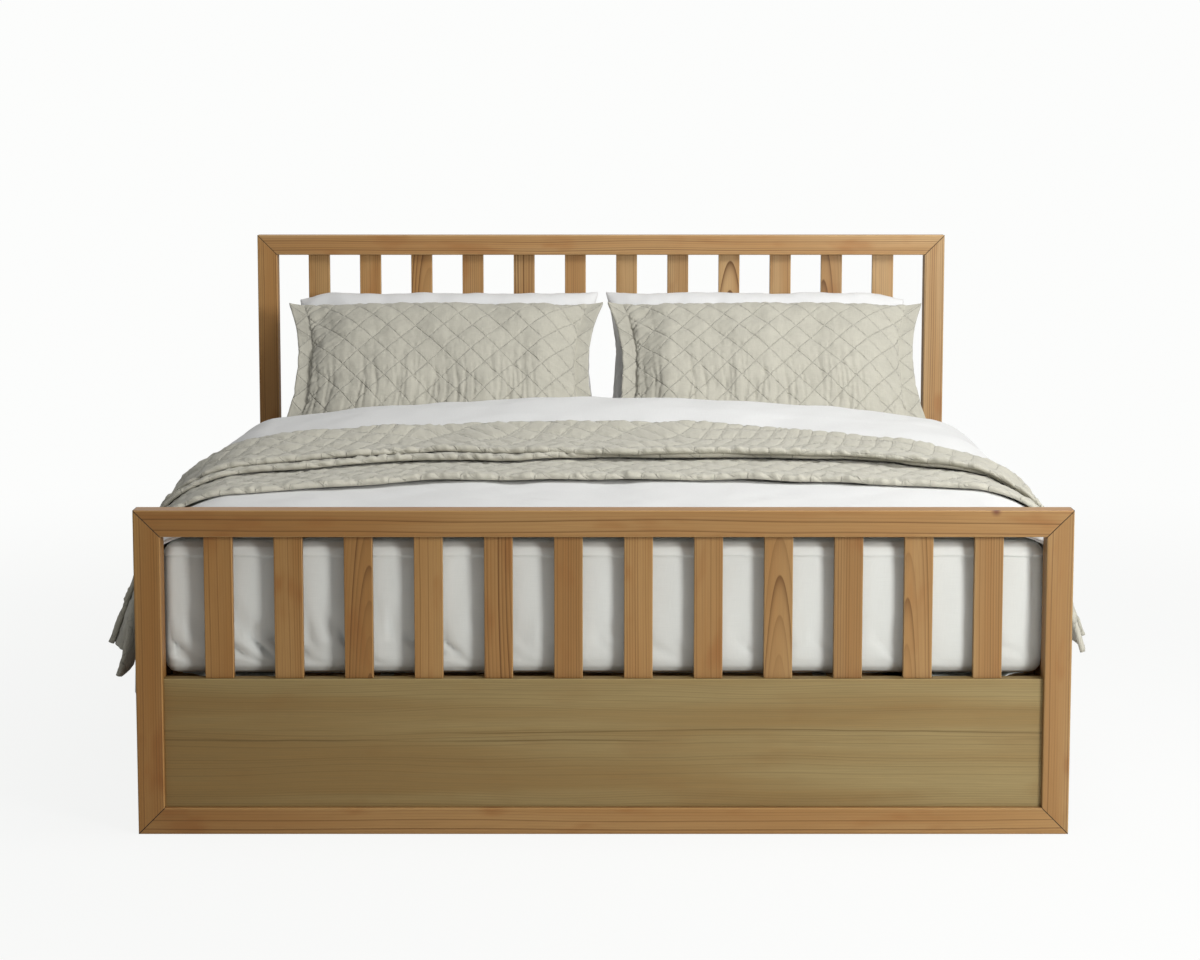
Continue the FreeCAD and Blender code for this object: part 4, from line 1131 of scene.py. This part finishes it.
def add_flanges(piece, reach, height):
    """Flat double borders beyond the seams at the two ends; returns the lines that their stitches follow."""
    parts, lines = [mesh_parts(piece)], []
    points, _, cloth = parts[0]
    steps = np.linspace(-0.18, 1.0, 9)
    beyond = np.clip(steps, 0, 1)[None, :]
    for side in (-1, 1):
        edge = np.abs(cloth[:, 0] - side * np.abs(cloth[:, 0]).max()) < 1e-4
        order = np.argsort(cloth[edge, 1])
        seam, places = points[edge][order], cloth[edge][order]
        up = seam[:, 2] / height * 2 - 1
        flare = np.sign(up) * np.abs(up) ** 5 * 0.008
        wave = 0.003 * np.sin(up * 5 + side)
        grid = np.repeat(seam[:, None, :], len(steps), axis=1)
        grid[:, :, 0] += side * reach * steps[None, :]
        grid[:, :, 2] += flare[:, None] * beyond
        grid[:, :, 1] += wave[:, None] * beyond
        half = 0.0028 + 0.0012 * (steps[None, :] > 0.93)
        outer, inner = grid.copy(), grid.copy()
        outer[:, :, 1] -= half
        inner[:, :, 1] += half
        flat = np.stack([places[:, 0][:, None] + side * reach * steps[None, :],
                         np.repeat(places[:, 1][:, None], len(steps), 1)], 2)
        lines.append(outer[2:-2, 3] - (0, 0.0003, 0))
        strip = slab("strip", outer, inner, flat)
        if side < 0:
            strip.data.flip_normals()
        parts.append(mesh_parts(strip))
        bpy.data.objects.remove(strip)
    faces, start = [], 0
    for part_points, part_faces, _ in parts:
        faces += [tuple(index + start for index in face) for face in part_faces]
        start += len(part_points)
    joined = mesh_object("join", np.concatenate([part[0] for part in parts]), faces,
                         np.concatenate([part[2] for part in parts]))
    piece.data = joined.data
    bpy.data.objects.remove(joined)
    return lines


def leaned_back(points, spec, side):
    """A cushion's points tipped back, set down on the bed, and flattened where it rests."""
    hollow, soft = 0.018, 0.02
    angle = math.radians(spec["lean"])
    share = np.clip(points[:, 2] / spec["size"][1], 0, 1)
    y = points[:, 1] - hollow * np.sin(math.pi * share)
    leaned = np.stack([
        points[:, 0] + side * spec["offset"][side > 0],
        FOOT_FRONT + spec["foot"][0] + y * math.cos(angle) + points[:, 2] * math.sin(angle),
        spec["foot"][1] - y * math.sin(angle) + points[:, 2] * math.cos(angle)], 1)
    limit = BED_TOP + soft
    under = leaned[:, 2] < limit
    leaned[under, 2] = limit - soft * (1 - np.exp(-(limit - leaned[under, 2]) / soft))
    return leaned


# ---- What a user may change ----

class BedLooks(bpy.types.PropertyGroup):
    """Sizes and colours of the bed's wood and cloth."""

    wood_light: FloatVectorProperty(
        name="Light wood", description="Colour of the wood between the grain lines",
        subtype="COLOR", size=3, min=0, max=1, default=(0.338, 0.193, 0.071))
    wood_dark: FloatVectorProperty(
        name="Dark wood", description="Colour of the grain lines",
        subtype="COLOR", size=3, min=0, max=1, default=(0.130, 0.052, 0.014))
    panel_light: FloatVectorProperty(
        name="Panel wood", description="Colour of the lower panels",
        subtype="COLOR", size=3, min=0, max=1, default=(0.268, 0.196, 0.082))
    linen: FloatVectorProperty(
        name="Quilted cloth", description="Colour of the throw and the shams",
        subtype="COLOR", size=3, min=0, max=1, default=(0.488, 0.470, 0.394))
    white: FloatVectorProperty(
        name="White cloth", description="Colour of the sheet and the pillows",
        subtype="COLOR", size=3, min=0, max=1, default=(0.76, 0.765, 0.76))
    cover_white: FloatVectorProperty(
        name="Coverlet", description="Colour of the coverlet, a little greyer than the sheet",
        subtype="COLOR", size=3, min=0, max=1, default=(0.71, 0.712, 0.70))
    quilt_wide: FloatProperty(
        name="Diamond width", description="Width of one quilted diamond",
        subtype="DISTANCE", min=0.03, max=0.3, default=0.088)
    quilt_tall: FloatProperty(
        name="Diamond height", description="Height of one quilted diamond",
        subtype="DISTANCE", min=0.03, max=0.3, default=0.092)
    puff: FloatProperty(
        name="Puff", description="How far the diamonds stand up between their stitches",
        subtype="DISTANCE", min=0, max=0.01, default=0.0048)
    cover_thick: FloatProperty(
        name="Coverlet thickness", description="Thickness of the white coverlet",
        subtype="DISTANCE", min=0.002, max=0.013, default=0.007)
    pressure: FloatProperty(
        name="Filling", description="Air pressure that fills the pillows and shams",
        min=0.5, max=20, default=2.5)
    slack: FloatProperty(
        name="Slack", description="How much larger the cover is than its filling, as a share of its size",
        min=0, max=0.2, default=0.02)
    fill_frames: IntProperty(
        name="Filling time", description="Frames for which the filling is simulated",
        min=5, max=60, default=24)
    key_power: FloatProperty(
        name="Key light", description="Power of the lamp at the front right",
        subtype="POWER", min=0, max=5000, default=102)
    fill_power: FloatProperty(
        name="Top light", description="Power of the lamp above the bed",
        subtype="POWER", min=0, max=5000, default=58)
    head_power: FloatProperty(
        name="Head light", description="Power of the lamp that lights the headboard",
        subtype="POWER", min=0, max=5000, default=40)


def looks():
    """The values that a user may change."""
    return bpy.context.scene.bed_looks


def dress(name, material):
    """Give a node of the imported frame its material."""
    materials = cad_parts[name].data.materials
    materials.clear()
    materials.append(material)


# ---- Which wood goes on which board ----

# Painted light: red, green and blue of a board at the left and at the right, as shares of the light wood,
# darker and redder at the left and paler at the right, where the key lamp is nearer
PAINTED_LIGHT_TONES = ((0.99, 1.05), (0.94, 1.13), (0.84, 1.28))
HEAD_TINT = (1.38, 1.50, 1.80)
PANEL_DARK = (0.105, 0.062, 0.018)
PANEL_STREAKS = ((0.226, 0.0024), (0.208, 0.0030))
BASE_LIGHT, BASE_DARK, TONGUE_LIGHT = (0.60, 0.43, 0.25), (0.42, 0.25, 0.12), (0.55, 0.36, 0.2)
RAIL_KNOT = ((0.846, FOOT_FRONT, 0.714), 0.016)
# Spindles with a figure of their own: pith across and from the face, tilt, ring pitch, contrast
FIGURED = {3: (-0.025, 0.030, 0.075, 0.0062, 2.0), 5: (-0.045, 0.014, -0.060, 0.0080, 3.0),
           9: (-0.002, 0.034, 0.080, 0.0066, 1.5), 11: (0.024, 0.024, 0.070, 0.0066, 1.3)}


def tone_with_painted_light(light, place, end):
    """Painted light: boards darker and redder on the left, paler on the right, where the key lamp is nearer;
    the headboard's are tinted paler as well.
    """
    share = (place / HALF_WIDTH + 1) / 2
    tone = [low + (high - low) * share for low, high in PAINTED_LIGHT_TONES]
    return [c * t * h for c, t, h in zip(light, tone, HEAD_TINT if end else (1, 1, 1))]


def dress_members(board, end, look, groups):
    """The posts, rails and panel of the footboard (end 0) or the headboard (end 1)."""
    dark = list(look.wood_dark)
    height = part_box(board + "_top_rail")[1].z
    for index, side in enumerate(("left", "right")):
        name = f"{board}_post_{side}"
        dress(name, wood_material(
            f"{board} {side} post", groups, "z", tone_with_painted_light(look.wood_light, 2 * index - 1, end), dark,
            seed=3.1 * index + 11 * end, pith=(1.15 - 2.0 * index, 1.09 - 2.08 * end),
            pitch=0.0058, tilt=0.001, contrast=1.2, blotch=1.0, height=height, box=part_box(name)))
    middle = tone_with_painted_light(look.wood_light, 0, end)
    # The paler values paint light on the rails and panels: paler towards the right, where the key lamp is
    # nearer
    for part, light, line, grain in (
            ("top_rail", middle, dark, {
                "seed": 21.0 + end, "pith": (-height - 0.16, 0.9 - 2.0 * end), "pitch": 0.0060,
                "contrast": 1.5, "paler": 0.09, "height": height, "knot": None if end else RAIL_KNOT}),
            ("bottom_rail", middle, dark, {
                "seed": 27.0 + end, "pith": (0.22, 1.1 - 2.1 * end), "pitch": 0.0065,
                "contrast": 1.4, "paler": 0.11, "height": height}),
            ("panel", list(look.panel_light), PANEL_DARK, {
                "seed": 33.0 + end, "pith": (0.26, 1.0365 - 2.07 * end), "pitch": 0.0056,
                "contrast": 0.62, "paler": 0.07, "waver": 0.010, "tilt": 0.003, "roughness": 0.5,
                "blotch": 0.25, "streaks": PANEL_STREAKS})):
        name = f"{board}_{part}"
        dress(name, wood_material(name.replace("_", " "), groups, "x", light, line,
                                  box=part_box(name), **grain))


def dress_spindles(board, end, look, groups):
    """The spindles between the posts, each with its own shade and figure."""
    for number in range(1, SPINDLES + 1):
        name = f"{board}_spindle_{number:02d}"
        low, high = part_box(name)
        centre, middle = (low.x + high.x) / 2, (low.z + high.z) / 2
        plain = (0.11 + 0.02 * (number % 4), 0.05, 0.006, 0.0055, 1.0)
        across, into, tilt, pitch, contrast = FIGURED.get(number, plain)
        shade = 0.94 + 0.12 * ((number * 37 + end * 5) % 10) / 9
        dress(name, wood_material(
            name.replace("_", " "), groups, "z",
            [c * shade for c in tone_with_painted_light(look.wood_light, centre, end)], list(look.wood_dark),
            seed=40.0 + number + 20 * end, pitch=pitch, tilt=tilt, waver=0.0025, contrast=contrast,
            pith=(across - centre, into - low.y - tilt * middle), box=(low, high)))


def dress_base(look, groups):
    """The side rails, and the plain wood below the mattress and in the mitres."""
    for index, side in enumerate(("left", "right")):
        dress("side_rail_" + side, wood_material(
            side + " side rail", groups, "y", list(look.wood_light), list(look.wood_dark),
            seed=70.0 + index, pith=(0.9 - 1.8 * index, 0.4), contrast=0.42))
    for label, along, light, names, grain in (
            ("Slat wood", "x", BASE_LIGHT, ("bed_slats",), {"seed": 80.0, "pith": (-0.1, 0.4)}),
            ("Beam wood", "y", BASE_LIGHT, ("ledger_left", "ledger_right", "centre_beam"), {"seed": 81.0}),
            ("Leg wood", "z", BASE_LIGHT, ("centre_leg_front", "centre_leg_rear"), {"seed": 82.0}),
            ("Tongue wood", "z", TONGUE_LIGHT, [board + "_mitre_tongues" for board in END_BOARDS],
             {"seed": 83.0})):
        material = wood_material(label, groups, along, light, BASE_DARK, **grain)
        for name in names:
            dress(name, material)


# ---- One operator for each group of pieces ----

class BED_OT_wood(bpy.types.Operator):
    """Give every board its own pine"""
    bl_idname = "bed.wood"
    bl_label = "Pine boards"

    def execute(self, context):
        look, groups = looks(), shared_groups()
        for end, board in enumerate(END_BOARDS):
            dress_members(board, end, look, groups)
            dress_spindles(board, end, look, groups)
        dress_base(look, groups)
        return {"FINISHED"}


class BED_OT_fittings(bpy.types.Operator):
    """Steel fittings, woven tapes and moulded feet"""
    bl_idname = "bed.fittings"
    bl_label = "Fittings"

    def execute(self, context):
        steel = steel_material()
        for name in ("rail_hook_plates", "post_slot_plates", "fitting_screws", "base_screws",
                     "beam_hangers", "leg_inserts"):
            dress(name, steel)
        dress("slat_tapes", webbing_material())
        foot = foot_material()
        for name in ("levelling_foot_front", "levelling_foot_rear"):
            dress(name, foot)
        return {"FINISHED"}


class BED_OT_mattress(bpy.types.Operator):
    """The mattress in its fitted sheet"""
    bl_idname = "bed.mattress"
    bl_label = "Mattress"

    def execute(self, context):
        shaded = tinted(looks().white, 0.88, 0.895, 0.86)[:3]
        sheet = cotton_material("Fitted sheet", shared_groups(), shaded, 0.0006, 0.0006)
        piece = make_mattress()
        settle(piece, "mattress", "white_sheet", sheet, "mattress")
        return {"FINISHED"}


class BED_OT_coverlet(bpy.types.Operator):
    """The white coverlet over the mattress"""
    bl_idname = "bed.coverlet"
    bl_label = "Coverlet"

    def execute(self, context):
        cloth = cotton_material("White coverlet", shared_groups(), list(looks().cover_white), 0.0008)
        piece = make_coverlet(looks().cover_thick)
        settle(piece, "mattress", "white_cotton", cloth, "coverlet")
        return {"FINISHED"}


class BED_OT_throw(bpy.types.Operator):
    """The quilted throw folded across the bed"""
    bl_idname = "bed.throw"
    bl_label = "Throw"

    def execute(self, context):
        look = looks()
        cloth = quilted_material("Quilted linen", shared_groups(), list(look.linen),
                                 look.quilt_wide, look.quilt_tall)
        piece, lines = make_throw(look)
        settle(piece, "throw", "quilted_linen", cloth, "throw")
        thread = thread_material(look)
        hems = stitched("throw_hem_stitches", lines, thread, 7)
        settle(hems, "throw", "quilted_linen", thread)
        return {"FINISHED"}


class BED_OT_pillows(bpy.types.Operator):
    """Two white pillows that stand behind the shams"""
    bl_idname = "bed.pillows"
    bl_label = "Pillows"

    def execute(self, context):
        cloth = cotton_material("Pillow cotton", shared_groups(), list(looks().white), 0.0008, 0.0014)
        for index, (side, way) in enumerate(SIDES):
            piece, _ = make_cushion(f"white_pillow_{side}", PILLOW, looks(), 101 + index, False, way)
            settle(piece, f"{side}_pillow", "white_cotton", cloth, f"pillow_{side}")
        return {"FINISHED"}


class BED_OT_shams(bpy.types.Operator):
    """Two quilted shams that lean on the pillows"""
    bl_idname = "bed.shams"
    bl_label = "Shams"

    def execute(self, context):
        look = looks()
        cloth = quilted_material("Quilted sham", shared_groups(), list(look.linen),
                                 look.quilt_wide, look.quilt_tall)
        thread = thread_material(look)
        for index, (side, way) in enumerate(SIDES):
            piece, lines = make_cushion(f"quilted_sham_{side}", SHAM, look, 111 + index, True, way)
            settle(piece, f"{side}_sham", "quilted_linen", cloth, f"sham_{side}")
            seams = stitched(f"sham_{side}_seam_stitches", lines, thread, 9 + index)
            settle(seams, f"{side}_sham", "quilted_linen", thread)
        return {"FINISHED"}


class BED_OT_stage(bpy.types.Operator):
    """Pale floor, plain soft light and the camera"""
    bl_idname = "bed.stage"
    bl_label = "Floor, light and camera"

    def execute(self, context):
        look = looks()
        scene = context.scene
        scene.view_settings.view_transform = "Standard"
        make_floor()
        make_world(scene)
        area_light("Key", *KEY_LAMP, look.key_power)
        area_light("Top", *TOP_LAMP, look.fill_power)
        area_light("Head", *HEAD_LAMP, look.head_power)
        make_camera(scene)
        return {"FINISHED"}


def make_floor():
    """A wide pale floor that takes the bed's shadow and is seen as the backdrop."""
    reach, near, far = 40.0, 1.2, 4.5
    corners = [(-reach, -reach, 0), (reach, -reach, 0), (reach, reach, 0), (-reach, reach, 0)]
    floor = mesh_object("floor", corners, [(0, 1, 2, 3)], flat=True)
    material = bpy.data.materials.new("Pale floor")
    material.use_nodes = True
    tree = material.node_tree
    tree.nodes.clear()
    diffuse = tree.nodes.new("ShaderNodeBsdfDiffuse")
    diffuse.inputs["Color"].default_value = FLOOR_COLOUR
    glow = tree.nodes.new("ShaderNodeEmission")
    glow.inputs["Color"].default_value = BACKDROP
    path = tree.nodes.new("ShaderNodeLightPath")
    net = Net(tree)
    x, y, _ = net.split(net.coordinates("Object"))
    away = net.math("SQRT", net.plus(net.times(x, x), net.times(y, y)))
    seen = net.times(path.outputs["Is Camera Ray"], net.step(away, near, far, 0.9, 1.0))
    mixed(tree, seen, diffuse, glow, "ShaderNodeOutputMaterial")
    floor.data.materials.append(material)


def mixed(tree, share, first, second, output):
    """Send a mix of two shaders to the output."""
    mix = tree.nodes.new("ShaderNodeMixShader")
    end = tree.nodes.new(output)
    for source, target in ((share, mix.inputs[0]), (first.outputs[0], mix.inputs[1]),
                           (second.outputs[0], mix.inputs[2]), (mix.outputs[0], end.inputs[0])):
        tree.links.new(source, target)


def make_world(scene):
    """Even white light, seen by the camera and in gloss as the backdrop."""
    world = bpy.data.worlds.new("Studio")
    world.use_nodes = True
    tree = world.node_tree
    tree.nodes.clear()
    path = tree.nodes.new("ShaderNodeLightPath")
    lit, seen = (tree.nodes.new("ShaderNodeBackground") for _ in range(2))
    lit.inputs["Color"].default_value = (1.0, 1.0, 1.0, 1)
    lit.inputs["Strength"].default_value = WORLD_STRENGTH
    seen.inputs["Color"].default_value = BACKDROP
    seen.inputs["Strength"].default_value = 1.0
    shown = Net(tree).math("MAXIMUM", path.outputs["Is Camera Ray"], path.outputs["Is Glossy Ray"])
    mixed(tree, shown, lit, seen, "ShaderNodeOutputWorld")
    scene.world = world


def aim(thing, target):
    """Turn a lamp so that it shines at the target."""
    direction = Vector(target) - Vector(thing.location)
    thing.rotation_mode = "QUATERNION"
    thing.rotation_quaternion = direction.to_track_quat("-Z", "Y")


def area_light(name, place, target, size, power):
    """A square lamp at a place, aimed at the target."""
    lamp = bpy.data.lights.new(name, "AREA")
    lamp.shape = "SQUARE"
    lamp.size = size
    lamp.energy = power
    holder = bpy.data.objects.new(name, lamp)
    holder.location = place
    aim(holder, target)
    bpy.context.scene.collection.objects.link(holder)


def make_camera(scene):
    """The photograph's view: straight from the foot, from above the rails."""
    lens = bpy.data.cameras.new("Camera")
    lens.sensor_width = 36.0
    lens.lens = CAMERA_LENS
    lens.shift_x, lens.shift_y = CAMERA_SHIFT
    lens.clip_end = 200.0
    camera = bpy.data.objects.new("Camera", lens)
    camera.location = CAMERA_PLACE
    camera.rotation_euler = (math.pi / 2 - CAMERA_TILT, 0, 0)
    scene.collection.objects.link(camera)
    scene.camera = camera


class BED_PT_panel(bpy.types.Panel):
    """Lists the bed's steps in the sidebar"""
    bl_idname = "BED_PT_panel"
    bl_label = "Spindle bed"
    bl_space_type = "VIEW_3D"
    bl_region_type = "UI"
    bl_category = "Bed"

    def draw(self, context):
        look = context.scene.bed_looks
        for name in BedLooks.__annotations__:
            self.layout.prop(look, name)
        for step in STEPS:
            self.layout.operator(step.bl_idname)


STEPS = (BED_OT_wood, BED_OT_fittings, BED_OT_mattress, BED_OT_coverlet, BED_OT_throw, BED_OT_pillows,
         BED_OT_shams, BED_OT_stage)
CLASSES = (BedLooks, *STEPS, BED_PT_panel)


def register():
    for item in CLASSES:
        bpy.utils.register_class(item)
    bpy.types.Scene.bed_looks = PointerProperty(type=BedLooks)


def unregister():
    del bpy.types.Scene.bed_looks
    for item in reversed(CLASSES):
        bpy.utils.unregister_class(item)


def main():
    register()
    for step in STEPS:
        group, name = step.bl_idname.split(".")
        getattr(getattr(bpy.ops, group), name)()


if __name__ == "__main__":
    main()
